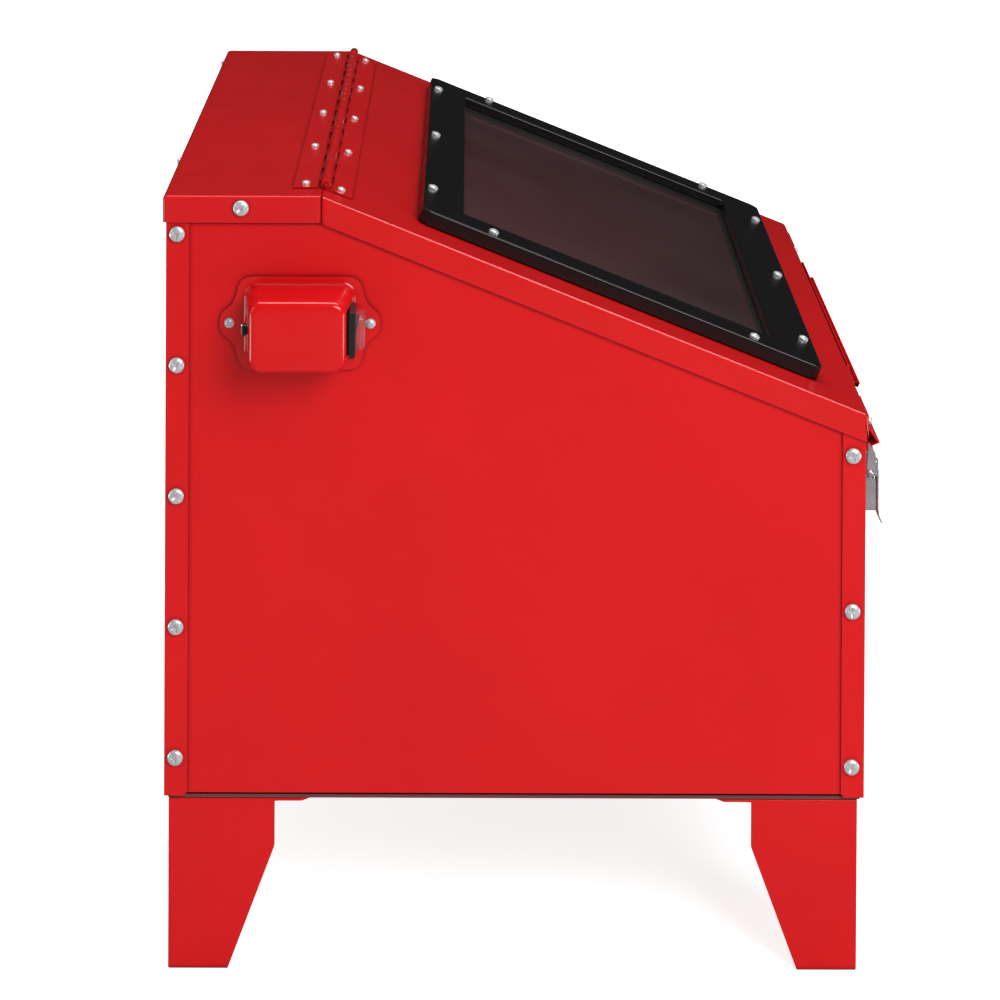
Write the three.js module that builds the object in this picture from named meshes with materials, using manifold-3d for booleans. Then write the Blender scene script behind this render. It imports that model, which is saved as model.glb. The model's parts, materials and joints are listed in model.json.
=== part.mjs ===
// Bench-top blast cabinet: folded sheet-steel body on four short legs, a sloping lid with a framed
// window on a full-width piano hinge, two toggle latches, glove ports, work grate, lamp and blast gun.
// Millimetres, +Z up, -Y towards the operator. The pieces are drawn about the body's middle; the last
// step moves the whole part so that the origin is the middle of its outline, on the floor.

import * as THREE from 'three';
import { mergeVertices } from 'three/addons/utils/BufferGeometryUtils.js';
import Module from 'manifold-3d';

const wasm = await Module();
wasm.setup();

// ---- driving dimensions -------------------------------------------------------------------------
const SHEET = 1.2; // steel sheet
const GAP = 0.3; // clearance between neighbouring pieces
const HALF_W = 295; // outer face of the corner wraps
const SIDE_X = 293.5; // outer face of the side panels, set back behind the wraps
const CAP_X = 296.5; // outer face of the top and lid side flanges
const FRONT_Y = -241.5; // outer face of the front wall
const REAR_Y = 240.2; // outer face of the rear wall
const WRAP = 16; // width of the corner wraps on the sides
const TOP_Z = 534.7; // top of the flat top panel
const TOP_REAR_Y = 242.5;
const RIDGE_Y = 133.4; // where the flat top meets the lid
const LID_FRONT_Y = -243.5; // outer face of the lid's front wall
const LID_FRONT_Z = 385.2; // height of the lid's front edge
const CAP_FLANGE = 18.6; // height of the top panel's flanges
const LID_FLANGE = 19.2; // height of the lid's side flanges
const LID_WALL_Z = 359; // lower edge of the lid's front wall
const SEAL = 4; // thickness of the lid seal
const SEAT = SHEET + SEAL + 2 * GAP; // the seal's seat, square below the lid's outer surface
const FLANGE_IN = 16; // width of the inturned flanges
const BODY_Z = 118.4; // underside of the body
const PANEL_Z = 122.5; // lower edge of the side panels
const LEG_W = 73; // width of a leg's wings at the top
const LEG_FOOT = 41; // and at the floor
const LEG_PLATE = 99; // side of the plate under the body
const LEG_X = 292.4;
const LEG_Y = 237.2;
const LEG_SHEET = 2;
const LEG_STRAIGHT = 33; // height of the wings' straight part
const HINGE_Y = 131.5; // piano hinge axis
const HINGE_Z = 537.8;
const HINGE_LEN = 546;
const HINGE_R = 3.3;
const PIN_R = 1.1;
const KNUCKLES = 25;
const LEAF_W = 21; // how far each leaf reaches from the ridge
const WINDOW = { halfX: 226.5, s0: 101, s1: 336 }; // clear opening, s measured down the slope
const FRAME = { halfX: 259.5, s0: 70, s1: 371, high: 11 };
const PANE = { halfX: 238, s0: 86, s1: 354, thick: 3 };
const PORT_X = 135; // glove ports
const PORT_Z = 258;
const PORT_R = 76;
const GRATE_Z = 150;
const LATCH_X = 256;
const BOX_Y = 148; // switch box on the left side panel
const BOX_Z = 447;
const BOX_OUT = 42;
const VENT = { x: 130, z: 430, r: 31 };
const INLET = { x: 225, z: 185 };
const GUN = { y: -125, z: 169, r: 11 };

const SLOPE = Math.atan2(TOP_Z - LID_FRONT_Z, RIDGE_Y - LID_FRONT_Y);
const HALF_PI = Math.PI / 2;

// ---- materials ----------------------------------------------------------------------------------
function material(color, roughness, metalness) {
  return new THREE.MeshStandardMaterial({ color, roughness, metalness });
}

const RED = material(0xcf2229, 0.42, 0.1);
const ZINC = material(0xc6cbd2, 0.3, 0.95);
const BLACK = material(0x17130f, 0.3, 0.0);
const RUBBER = material(0x1c1b1d, 0.8, 0.0);
const CLEAR = material(0xdfe8ea, 0.08, 0.0);
const FOAM = material(0x2a2a2c, 0.95, 0.0);
const STEEL = material(0x8d9196, 0.45, 0.9);
const CERAMIC = material(0xe9e4d8, 0.5, 0.0);
const LAMP_WHITE = material(0xf3f4f0, 0.35, 0.0);
const BRASS = material(0xc49a4a, 0.35, 0.9);
CLEAR.transparent = true;
CLEAR.opacity = 0.3;

// ---- solids -------------------------------------------------------------------------------------
function toSolid(geometry) {
  const bare = geometry.clone();
  bare.deleteAttribute('normal');
  bare.deleteAttribute('uv');
  const merged = mergeVertices(bare, 1e-4);
  return new wasm.Manifold(new wasm.Mesh({
    numProp: 3,
    vertProperties: new Float32Array(merged.attributes.position.array),
    triVerts: new Uint32Array(merged.index.array),
  }));
}

function toGeometry(solid) {
  const mesh = solid.getMesh();
  const geometry = new THREE.BufferGeometry();
  geometry.setAttribute('position', new THREE.BufferAttribute(mesh.vertProperties, 3));
  geometry.setIndex(new THREE.BufferAttribute(mesh.triVerts, 1));
  geometry.computeVertexNormals();
  return geometry;
}

function join(...solids) {
  return solids.reduce((whole, solid) => whole.add(solid));
}

function cut(body, ...tools) {
  return tools.reduce((whole, tool) => whole.subtract(tool), body);
}

function box(x0, x1, y0, y1, z0, z1) {
  const geometry = new THREE.BoxGeometry(x1 - x0, y1 - y0, z1 - z0);
  geometry.translate((x0 + x1) / 2, (y0 + y1) / 2, (z0 + z1) / 2);
  return toSolid(geometry);
}

function outline(points) {
  return new THREE.Shape(points.map(([u, v]) => new THREE.Vector2(u, v)));
}

// Extrudes a shape drawn in X and Y from z0 up to z1.
function alongZ(shape, z0, z1, curveSegments = 8) {
  const options = { depth: z1 - z0, bevelEnabled: false, curveSegments };
  const geometry = new THREE.ExtrudeGeometry(shape, options);
  geometry.translate(0, 0, z0);
  return toSolid(geometry);
}

// Extrudes a section drawn in Y and Z along X, from x0 to x1.
function alongX(shape, x0, x1, curveSegments = 8) {
  const options = { depth: x1 - x0, bevelEnabled: false, curveSegments };
  const geometry = new THREE.ExtrudeGeometry(shape, options);
  geometry.rotateY(HALF_PI);
  geometry.rotateX(HALF_PI);
  geometry.translate(x0, 0, 0);
  return toSolid(geometry);
}

function section(points, x0, x1) {
  return alongX(outline(points), x0, x1);
}

// A round bar or disc between two points.
function rod(from, to, radius, segments = 24, endRadius = radius) {
  const start = new THREE.Vector3(...from);
  const axis = new THREE.Vector3(...to).sub(start);
  const geometry = new THREE.CylinderGeometry(endRadius, radius, axis.length(), segments);
  geometry.translate(0, axis.length() / 2, 0);
  const turn = new THREE.Quaternion().setFromUnitVectors(
    new THREE.Vector3(0, 1, 0), axis.clone().normalize());
  geometry.applyQuaternion(turn);
  geometry.translate(start.x, start.y, start.z);
  return toSolid(geometry);
}

// Turns a closed [radius, distance] profile about the Y direction through the point at.
function turnedY(profile, at, segments = 28) {
  const points = profile.map(([r, d]) => new THREE.Vector2(r, d));
  const geometry = new THREE.LatheGeometry(points, segments);
  geometry.translate(...at);
  return toSolid(geometry);
}

// A hose of the given radius through the listed points.
function hose(points, radius, steps) {
  const path = new THREE.CatmullRomCurve3(points.map((p) => new THREE.Vector3(...p)));
  const circle = new THREE.Shape();
  circle.absarc(0, 0, radius, 0, 2 * Math.PI);
  const options = { extrudePath: path, steps, curveSegments: 5, bevelEnabled: false };
  return toSolid(new THREE.ExtrudeGeometry(circle, options));
}

function roundedRectangle(halfU, halfV, radius) {
  const shape = new THREE.Shape();
  shape.absarc(halfU - radius, halfV - radius, radius, 0, HALF_PI);
  shape.absarc(-halfU + radius, halfV - radius, radius, HALF_PI, Math.PI);
  shape.absarc(-halfU + radius, -halfV + radius, radius, Math.PI, 3 * HALF_PI);
  shape.absarc(halfU - radius, -halfV + radius, radius, 3 * HALF_PI, 4 * HALF_PI);
  return shape;
}

function named(name, solid, finish) {
  const mesh = new THREE.Mesh(toGeometry(solid), finish);
  mesh.name = name;
  return mesh;
}

// Height of the lid's outer surface at a given Y, lowered square to the slope by a depth.
function lidZ(y, depth = 0) {
  return TOP_Z - (RIDGE_Y - y) * Math.tan(SLOPE) - depth / Math.cos(SLOPE);
}

const cabinet = new THREE.Group();

// ---- body panels --------------------------------------------------------------------------------
// side is -1 for the left panel, 1 for the right.
function sidePanel(side) {
  const outerY = [FRONT_Y + SHEET + GAP, REAR_Y - SHEET - GAP];
  const topZ = TOP_Z - SHEET - GAP;
  const kneeY = RIDGE_Y - 2;
  const rim = [
    [outerY[0], PANEL_Z], [outerY[1], PANEL_Z], [outerY[1], topZ], [kneeY + 6, topZ],
    [kneeY + 6, lidZ(kneeY, SEAT + GAP)], [kneeY, lidZ(kneeY, SEAT + GAP)],
    [outerY[0], lidZ(outerY[0], SEAT + GAP)],
  ];
  const x = [SIDE_X - SHEET, SIDE_X].map((v) => v * side).sort((a, b) => a - b);
  const inX = [SIDE_X - FLANGE_IN, SIDE_X - SHEET / 2].map((v) => v * side).sort((a, b) => a - b);
  const skin = section(rim, ...x);
  const seat = section([
    [outerY[0] + 15, lidZ(outerY[0] + 15, SEAT)], [outerY[0] + 15, lidZ(outerY[0] + 15, SEAT + SHEET)],
    [kneeY - 18, lidZ(kneeY - 18, SEAT + SHEET)], [kneeY - 18, lidZ(kneeY - 18, SEAT)],
  ], ...inX);
  const foot = box(...inX, outerY[0] + 2, outerY[1] - 2, PANEL_Z + 0.2, PANEL_Z + 0.2 + SHEET);
  return join(skin, seat, foot);
}

function leftPanel() {
  const cable = rod([-HALF_W - 5, BOX_Y, BOX_Z], [-HALF_W + 20, BOX_Y, BOX_Z], 9, 20);
  return cut(sidePanel(-1), cable);
}

// A wall with wraps folded round both corners. out is the wall's outer face, into points inwards.
function wrappedWall(outY, into, topZ) {
  const y = (depth) => outY + into * depth;
  const span = (a, b) => [y(a), y(b)].sort((p, q) => p - q);
  const wall = box(-HALF_W, HALF_W, ...span(0, SHEET), BODY_Z + 2, topZ);
  const wraps = [-1, 1].map((side) => {
    const x = [HALF_W * side, (HALF_W - SHEET) * side].sort((a, b) => a - b);
    const chamfer = 3;
    return section([
      [y(0), BODY_Z + 2], [y(WRAP - chamfer), BODY_Z + 2], [y(WRAP), BODY_Z + 2 + chamfer],
      [y(WRAP), topZ], [y(0), topZ],
    ], ...x);
  });
  return join(wall, ...wraps);
}

function frontPanel() {
  const topZ = lidZ(FRONT_Y, SEAT);
  const ledge = section([
    [FRONT_Y, lidZ(FRONT_Y, SEAT)], [FRONT_Y, lidZ(FRONT_Y, SEAT + 2 * SHEET)],
    [FRONT_Y + FLANGE_IN, lidZ(FRONT_Y + FLANGE_IN, SEAT + SHEET)],
    [FRONT_Y + FLANGE_IN, lidZ(FRONT_Y + FLANGE_IN, SEAT)],
  ], -HALF_W + 20, HALF_W - 20);
  const ports = [-PORT_X, PORT_X].map(
    (x) => rod([x, FRONT_Y - 5, PORT_Z], [x, FRONT_Y + 5, PORT_Z], PORT_R, 48));
  return cut(join(wrappedWall(FRONT_Y, 1, topZ), ledge), ...ports);
}

function rearPanel() {
  const topZ = TOP_Z - SHEET - GAP;
  const vent = rod([VENT.x, REAR_Y - 5, VENT.z], [VENT.x, REAR_Y + 5, VENT.z], VENT.r + GAP, 40);
  const inlet = rod([INLET.x, REAR_Y - 5, INLET.z], [INLET.x, REAR_Y + 5, INLET.z], 7 + GAP, 24);
  return cut(wrappedWall(REAR_Y, -1, topZ), vent, inlet);
}

function bottomPanel() {
  const x = SIDE_X - 1.5;
  const y = [FRONT_Y + 2.5, REAR_Y - 2.5];
  const floor = box(-x, x, ...y, BODY_Z + 1.2, BODY_Z + 1.2 + SHEET);
  const rims = [-1, 1].map((side) => box(
    ...[x * side, (x - SHEET) * side].sort((a, b) => a - b), ...y, BODY_Z, BODY_Z + 2));
  return join(floor, ...rims);
}

function topPanel() {
  const frontY = RIDGE_Y + 0.25;
  const outside = box(-CAP_X, CAP_X, frontY, TOP_REAR_Y, TOP_Z - CAP_FLANGE, TOP_Z);
  const inside = box(-CAP_X + SHEET, CAP_X - SHEET, frontY - 1, TOP_REAR_Y - SHEET,
    TOP_Z - CAP_FLANGE - 1, TOP_Z - SHEET);
  const sealY = frontY - 22;
  const railY = frontY + 0.1;
  const rail = section([
    [railY, TOP_Z - 0.5], [railY + SHEET, TOP_Z - 0.5],
    [railY + SHEET, lidZ(railY, SEAT + 2 * SHEET)], [sealY, lidZ(sealY, SEAT + SHEET)],
    [sealY, lidZ(sealY, SEAT)], [railY, lidZ(railY, SEAT)],
  ], -SIDE_X + FLANGE_IN + 4, SIDE_X - FLANGE_IN - 4);
  return join(cut(outside, inside), rail);
}

cabinet.add(
  named('left_side_panel', leftPanel(), RED),
  named('right_side_panel', sidePanel(1), RED),
  named('front_panel', frontPanel(), RED),
  named('rear_panel', rearPanel(), RED),
  named('bottom_panel', bottomPanel(), RED),
  named('top_panel', topPanel(), RED),
);

// ---- legs ---------------------------------------------------------------------------------------
// One L-section leg with its outer corner at the origin; the wings run along +X and +Y.
function legSolid() {
  const top = BODY_Z - GAP;
  const knee = top - LEG_STRAIGHT;
  const wing = [[0, 0], [LEG_FOOT, 0], [LEG_W, knee], [LEG_W, top], [0, top]];
  const sideWing = section(wing, 0, LEG_SHEET);
  const frontWing = sideWing.transform([0, 1, 0, 0, 1, 0, 0, 0, 0, 0, 1, 0, 0, 0, 0, 1]);
  const plate = alongZ(outline([
    [0, 0], [LEG_PLATE - 8, 0], [LEG_PLATE, 8], [LEG_PLATE, 22], [22, LEG_PLATE],
    [8, LEG_PLATE], [0, LEG_PLATE - 8],
  ]), top - LEG_SHEET, top);
  return join(sideWing, frontWing, plate);
}

const LEGS = [
  ['leg_front_left', -LEG_X, -LEG_Y, 0],
  ['leg_front_right', LEG_X, -LEG_Y, HALF_PI],
  ['leg_rear_right', LEG_X, LEG_Y, Math.PI],
  ['leg_rear_left', -LEG_X, LEG_Y, -HALF_PI],
];
const legShape = legSolid();
for (const [name, x, y, turn] of LEGS) {
  const leg = named(name, legShape, RED);
  leg.position.set(x, y, 0);
  leg.rotation.z = turn;
  cabinet.add(leg);
}

// ---- lid ----------------------------------------------------------------------------------------
// Pieces that lie on the slope are drawn flat in the slope group: X across, -Y down the slope.
const slope = new THREE.Group();
slope.position.set(0, RIDGE_Y, TOP_Z);
slope.rotation.x = SLOPE;
cabinet.add(slope);

// A box on the slope, s measured down from the ridge and h up from the lid's outer surface.
function slopeBox(halfX, s0, s1, h0, h1) {
  return box(-halfX, halfX, -s1, -s0, h0, h1);
}

function placedOnSlope(solid) {
  const degrees = THREE.MathUtils.radToDeg(SLOPE);
  return solid.rotate([degrees, 0, 0]).translate([0, RIDGE_Y, TOP_Z]);
}

function lidPanel() {
  const startY = RIDGE_Y - 0.25;
  const frontY = LID_FRONT_Y;
  const skin = section([
    [startY, lidZ(startY)], [frontY, lidZ(frontY)], [frontY, LID_WALL_Z],
    [frontY + SHEET, LID_WALL_Z], [frontY + SHEET, lidZ(frontY + SHEET, SHEET)],
    [startY, lidZ(startY, SHEET)],
  ], -CAP_X, CAP_X);
  const flanges = [-1, 1].map((side) => section([
    [startY, lidZ(startY)], [frontY, lidZ(frontY)], [frontY, lidZ(frontY) - 18.3],
    [frontY + 4, lidZ(frontY + 4) - LID_FLANGE], [startY, lidZ(startY) - LID_FLANGE],
  ], ...[CAP_X * side, (CAP_X - SHEET) * side].sort((a, b) => a - b)));
  const ends = [-1, 1].map((side) => box(
    ...[(CAP_X - 5) * side, (CAP_X + 1) * side].sort((a, b) => a - b),
    frontY - 1, frontY + SHEET + 0.01, LID_WALL_Z - 1, lidZ(frontY) - 18.3));
  const hole = placedOnSlope(slopeBox(WINDOW.halfX - 2, WINDOW.s0 + 2, WINDOW.s1 - 2, -5, 5));
  return cut(join(skin, ...flanges), ...ends, hole);
}

function windowFrame() {
  const clip = 5;
  const { halfX, s0, s1, high } = FRAME;
  const ring = alongZ(outline([
    [-halfX + clip, -s0], [-halfX, -s0 - clip], [-halfX, -s1 + clip], [-halfX + clip, -s1],
    [halfX - clip, -s1], [halfX, -s1 + clip], [halfX, -s0 - clip], [halfX - clip, -s0],
  ]), GAP, high);
  const rebate = slopeBox(PANE.halfX + GAP, PANE.s0 - GAP, PANE.s1 + GAP, 0, PANE.thick + 3 * GAP);
  const opening = slopeBox(WINDOW.halfX, WINDOW.s0, WINDOW.s1, -1, high + 1);
  return cut(ring, rebate, opening);
}

function lidSeal() {
  const low = -SHEET - SEAL;
  const outer = slopeBox(SIDE_X - 5, 14, 391, low, -SHEET - GAP);
  return cut(outer, slopeBox(SIDE_X - 19, 27, 378, low - 1, 0));
}

// Strip along the lid's front wall: a tab bent outwards, with its lower edge turned up as a grip.
function handleStrip() {
  const y = LID_FRONT_Y - GAP;
  return section([
    [y, 384], [y, 371.6], [y - 7.8, 367.6], [y - 9.6, 370.8], [y - 8.7, 371.5],
    [y - 7.2, 369.2], [y - SHEET, 372.7], [y - SHEET, 384],
  ], -162, 162);
}

cabinet.add(
  named('lid_panel', lidPanel(), RED),
  named('lid_handle_strip', handleStrip(), RED),
);
slope.add(
  named('window_frame', windowFrame(), BLACK),
  named('window_pane', slopeBox(PANE.halfX, PANE.s0, PANE.s1, GAP, GAP + PANE.thick), CLEAR),
  named('lid_seal', lidSeal(), FOAM),
);

// ---- piano hinge --------------------------------------------------------------------------------
const PITCH = HINGE_LEN / KNUCKLES;

// Keeps every second knuckle, starting with the first (0) or the second (1).
function knuckles(first) {
  const tubes = [];
  for (let i = first; i < KNUCKLES; i += 2) {
    const x0 = -HINGE_LEN / 2 + i * PITCH + GAP;
    tubes.push(rod([x0, HINGE_Y, HINGE_Z], [x0 + PITCH - 2 * GAP, HINGE_Y, HINGE_Z], HINGE_R, 12));
  }
  return tubes;
}

// Room for the other leaf's knuckles, past the end of this leaf.
function notches(first) {
  const rooms = [];
  for (let i = first; i < KNUCKLES; i += 2) {
    const x0 = -HINGE_LEN / 2 + i * PITCH - GAP;
    const x1 = x0 + PITCH + 2 * GAP;
    rooms.push(rod([x0, HINGE_Y, HINGE_Z], [x1, HINGE_Y, HINGE_Z], HINGE_R + 0.6, 12));
  }
  return rooms;
}

const pinRoom = rod([-400, HINGE_Y, HINGE_Z], [400, HINGE_Y, HINGE_Z], PIN_R + 0.3, 8);
const half = HINGE_LEN / 2 - GAP;
const fixedLeafPlate = box(-half, half, HINGE_Y + 0.5, RIDGE_Y + LEAF_W,
  TOP_Z + 0.2, TOP_Z + 0.2 + SHEET);
const lidLeafPlate = placedOnSlope(slopeBox(half, 0.4, LEAF_W, 0.2, 0.2 + SHEET));
const fixedLeaf = cut(join(cut(fixedLeafPlate, ...notches(0)), ...knuckles(1)), pinRoom);
const lidLeaf = cut(join(cut(lidLeafPlate, ...notches(1)), ...knuckles(0)), pinRoom);
const pin = rod([-half - 2, HINGE_Y, HINGE_Z], [half + 2, HINGE_Y, HINGE_Z], PIN_R, 8);

cabinet.add(
  named('hinge_leaf_fixed', fixedLeaf, RED),
  named('hinge_leaf_lid', lidLeaf, RED),
  named('hinge_pin', pin, RED),
);

// ---- toggle latches -----------------------------------------------------------------------------
// Drawn about X = 0 with Y measured from the front wall's face; the lever pivots at the upper pin
// and carries the hook on the lower one.
const LEVER_PIVOT = [FRONT_Y - 9, 344];
const HOOK_PIVOT = [FRONT_Y - 6.4, 336.5];

function pinX(at, radius, halfX) {
  return rod([-halfX, ...at], [halfX, ...at], radius, 16);
}

function latchBase() {
  const y = FRONT_Y - GAP;
  const back = box(-6.2, 6.2, y - 1, y, 309, 352);
  const cheeks = [-1, 1].map((side) => section([
    [y, 309], [y, 350], [y - 7, 348], [y - 10.8, 346], [y - 10.8, 342], [y - 4.4, 339],
    [y - 4.4, 332.5], [y - 10.8, 331], [y - 10.8, 309],
  ], ...[5.2 * side, 6.2 * side].sort((a, b) => a - b)));
  return cut(join(back, ...cheeks), pinX(LEVER_PIVOT, 1.8, 9));
}

function latchLever() {
  const y = FRONT_Y - 11.8;
  const plate = section([
    [y, 337], [y, 309.5], [y - 0.9, 304], [y - 3.0, 300.2], [y - 3.8, 301.1],
    [y - 2.2, 304.6], [y - 1.2, 309.5], [y - 1.2, 337],
  ], -7.9, 7.9);
  const cheeks = [-1, 1].map((side) => section([
    [y - 0.6, 345.5], [y - 0.6, 334], [FRONT_Y - 7, 333], [FRONT_Y - 4.2, 334.5],
    [FRONT_Y - 4.2, 339], [FRONT_Y - 6.6, 347], [FRONT_Y - 10.8, 347],
  ], ...[6.9 * side, 7.9 * side].sort((a, b) => a - b)));
  const pivot = pinX(LEVER_PIVOT, 1.5, 8.2);
  const stubs = [-1, 1].map((side) => rod(
    [7.2 * side, ...HOOK_PIVOT], [10.6 * side, ...HOOK_PIVOT], 1.3, 16));
  return join(plate, ...cheeks, pivot, ...stubs);
}

function latchHook() {
  const arms = [-1, 1].map((side) => section([
    [FRONT_Y - 4.4, 334.5], [FRONT_Y - 8.4, 334.5], [FRONT_Y - 10.8, 346], [FRONT_Y - 7.4, 357.8],
    [FRONT_Y - 5.4, 357.8], [FRONT_Y - 4.6, 345],
  ], ...[8.3 * side, 9.3 * side].sort((a, b) => a - b)));
  const bridge = section([
    [FRONT_Y - 6.4, 357.8], [FRONT_Y - 7.4, 357.8], [FRONT_Y - 9.2, 351.4], [FRONT_Y - 8.2, 351.4],
  ], -9, 9);
  return cut(join(...arms, bridge), pinX(HOOK_PIVOT, 1.6, 12));
}

// A bent tab on the lid's front wall: flat at the top, then outwards, with its lip turned back.
function latchKeeper() {
  const y = LID_FRONT_Y - GAP;
  return section([
    [y, 381], [y, 373], [y - 7.4, 362.2], [y - 2.6, 360.2], [y - 2.9, 359.2],
    [y - 9.2, 361.9], [y - SHEET, 374], [y - SHEET, 381],
  ], -25, 25);
}

const LATCH_PIECES = [
  ['latch_base', latchBase(), ZINC],
  ['latch_lever', latchLever(), ZINC],
  ['latch_hook', latchHook(), ZINC],
  ['latch_keeper', latchKeeper(), RED],
];
for (const [side, x] of [['left', -LATCH_X], ['right', LATCH_X]]) {
  const latch = new THREE.Group();
  latch.position.x = x;
  for (const [name, solid, finish] of LATCH_PIECES) {
    latch.add(named(`${name}_${side}`, solid, finish));
  }
  cabinet.add(latch);
}

// ---- switch box on the left side ----------------------------------------------------------------
// Drawn with its back on Z = 0 and turned on to the side panel: X here runs towards the operator,
// Y runs up the panel and Z stands out of it.
const switchBox = new THREE.Group();
switchBox.position.set(-SIDE_X - GAP, BOX_Y, BOX_Z);
switchBox.quaternion.setFromRotationMatrix(new THREE.Matrix4().makeBasis(
  new THREE.Vector3(0, -1, 0), new THREE.Vector3(0, 0, 1), new THREE.Vector3(-1, 0, 0)));
cabinet.add(switchBox);

const BOX_BASE = [37, 26.5];
const BOX_FACE = [31.5, 22.5];
const EAR = 48.5; // centre of each fixing ear
const WALL = 1.4;
const SWITCH_FACE = 34.4; // the flat that the switch bezel sits on
const BEZEL_HALF = 15.8;
const BEZEL_LOW = 6;
const BEZEL_HIGH = 35;
const ROCKER_PIVOT = 35.8;
const JACK_Y = 0.6;
const JACK_OUT = 21;
const ROCKER_TIP = 7; // degrees either side of level

// A drafted rounded box: layers of rounded rectangles, each pair joined by a sloping wall.
function draftedBox(base, face, height, radius) {
  const rings = 4;
  const count = 24;
  const positions = [];
  for (let i = 0; i <= rings; i += 1) {
    const t = i / rings;
    const swell = Math.sqrt(1 - (t * 0.55) ** 2);
    const halfU = face[0] + (base[0] - face[0]) * swell * (1 - t * 0.8);
    const halfV = face[1] + (base[1] - face[1]) * swell * (1 - t * 0.8);
    const points = roundedRectangle(halfU, halfV, radius).getSpacedPoints(count).slice(0, count);
    for (const p of points) {
      positions.push(p.x, p.y, height * t);
    }
  }
  const bottom = positions.length / 3;
  positions.push(0, 0, 0, 0, 0, height);
  const index = [];
  for (let i = 0; i < rings; i += 1) {
    for (let j = 0; j < count; j += 1) {
      const a = i * count + j;
      const b = i * count + ((j + 1) % count);
      index.push(a, b, b + count, a, b + count, a + count);
    }
  }
  const last = rings * count;
  for (let j = 0; j < count; j += 1) {
    const k = (j + 1) % count;
    index.push(bottom, k, j, bottom + 1, last + j, last + k);
  }
  const geometry = new THREE.BufferGeometry();
  geometry.setAttribute('position', new THREE.Float32BufferAttribute(positions, 3));
  geometry.setIndex(index);
  return toSolid(geometry);
}

function switchCover() {
  const flange = alongZ(roundedRectangle(43.5, 32, 9), 0, 1.4);
  const ears = [-1, 1].map((side) => rod([EAR * side, 0, 0], [EAR * side, 0, 1.4], 6.6, 24));
  const webs = alongZ(outline([[-EAR, -5], [EAR, -5], [EAR, 5], [-EAR, 5]]), 0, 1.4);
  const outside = draftedBox(BOX_BASE, BOX_FACE, BOX_OUT, 9);
  const hollow = draftedBox([BOX_BASE[0] - WALL, BOX_BASE[1] - WALL],
    [BOX_FACE[0] - WALL, BOX_FACE[1] - WALL], BOX_OUT - WALL, 8).translate([0, 0, -0.01]);
  const half = BEZEL_HALF;
  const seat = box(30, SWITCH_FACE, -half - 1.5, half + 1.5, BEZEL_LOW - 1.5, BEZEL_HIGH + 1.5);
  const pad = outside.intersect(seat);
  const pocket = box(SWITCH_FACE, 60, -half - GAP, half + GAP, BEZEL_LOW - GAP, BEZEL_HIGH + GAP);
  const switchHole = box(28, 60, 3 - half, half - 3, BEZEL_LOW + 3, BEZEL_HIGH - 3);
  const jackHole = rod([-25, JACK_Y, JACK_OUT], [-60, JACK_Y, JACK_OUT], 3.8, 20);
  return cut(join(flange, ...ears, webs, cut(outside, hollow), pad), hollowMouth(), pocket,
    switchHole, jackHole);
}

// Opens the cover's back through the flange.
function hollowMouth() {
  return alongZ(roundedRectangle(BOX_BASE[0] - WALL, BOX_BASE[1] - WALL, 8), -1, 1.6);
}

function switchBezel() {
  const half = BEZEL_HALF;
  const rim = box(SWITCH_FACE + GAP, SWITCH_FACE + 4.5, -half, half, BEZEL_LOW, BEZEL_HIGH);
  const barrel = box(20, SWITCH_FACE + 1, 3.3 - half, half - 3.3, BEZEL_LOW + 3.3, BEZEL_HIGH - 3.3);
  const well = box(24, 60, 4.8 - half, half - 4.8, BEZEL_LOW + 4.8, BEZEL_HIGH - 4.8);
  return cut(join(rim, barrel), well);
}

// Drawn square about its pivot, then tipped with the upper end out.
function switchRocker() {
  const shape = outline([[4.6, -9.8], [3.4, 0], [4.6, 9.8], [-8, 7], [-8, -7]]);
  return alongZ(shape, BEZEL_LOW + 5.2, BEZEL_HIGH - 5.2)
    .rotate([0, 0, -ROCKER_TIP])
    .translate([ROCKER_PIVOT, 0, 0]);
}

function switchBoot() {
  const seat = SWITCH_FACE + 4.8;
  const outer = alongZ(outline([
    [seat, -12.6], [seat + 6.6, -11.4], [seat + 6.6, 12.6], [seat, 13.8]]), 8, 33);
  const inner = alongZ(outline([
    [seat - 1, -11.8], [seat + 5.8, -10.6], [seat + 5.8, 11.8], [seat - 1, 13]]), 9, 32);
  return cut(outer, inner);
}

function powerJack() {
  const at = (x) => [x, JACK_Y, JACK_OUT];
  const rim = rod(at(-36), at(-38.6), 4.5, 20);
  const barrel = rod(at(-26), at(-37), 3.5, 20);
  return cut(join(rim, barrel), rod(at(-29), at(-44), 2, 12));
}

switchBox.add(
  named('switch_box_cover', switchCover(), RED),
  named('switch_bezel', switchBezel(), BLACK),
  named('switch_rocker', switchRocker(), BLACK),
  named('switch_boot', switchBoot(), CLEAR),
  named('power_jack', powerJack(), BLACK),
);

// ---- glove ports and gloves ---------------------------------------------------------------------
const RING_OUT = 7;

// Trim ring: a lip outside the wall and a spigot through the port.
function portRing() {
  const inner = PORT_R - 4;
  return turnedY([
    [inner, -RING_OUT], [PORT_R + 9, -RING_OUT + 2], [PORT_R + 10, -GAP], [PORT_R - GAP, -GAP],
    [PORT_R - GAP, 30], [inner, 30], [inner, -RING_OUT],
  ], [0, FRONT_Y, PORT_Z], 32);
}

function gloveClamp() {
  const inner = PORT_R + 3.4;
  return turnedY([
    [inner, 10], [inner + 2, 10], [inner + 2, 22], [inner, 22], [inner, 10],
  ], [0, FRONT_Y, PORT_Z], 32);
}

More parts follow.
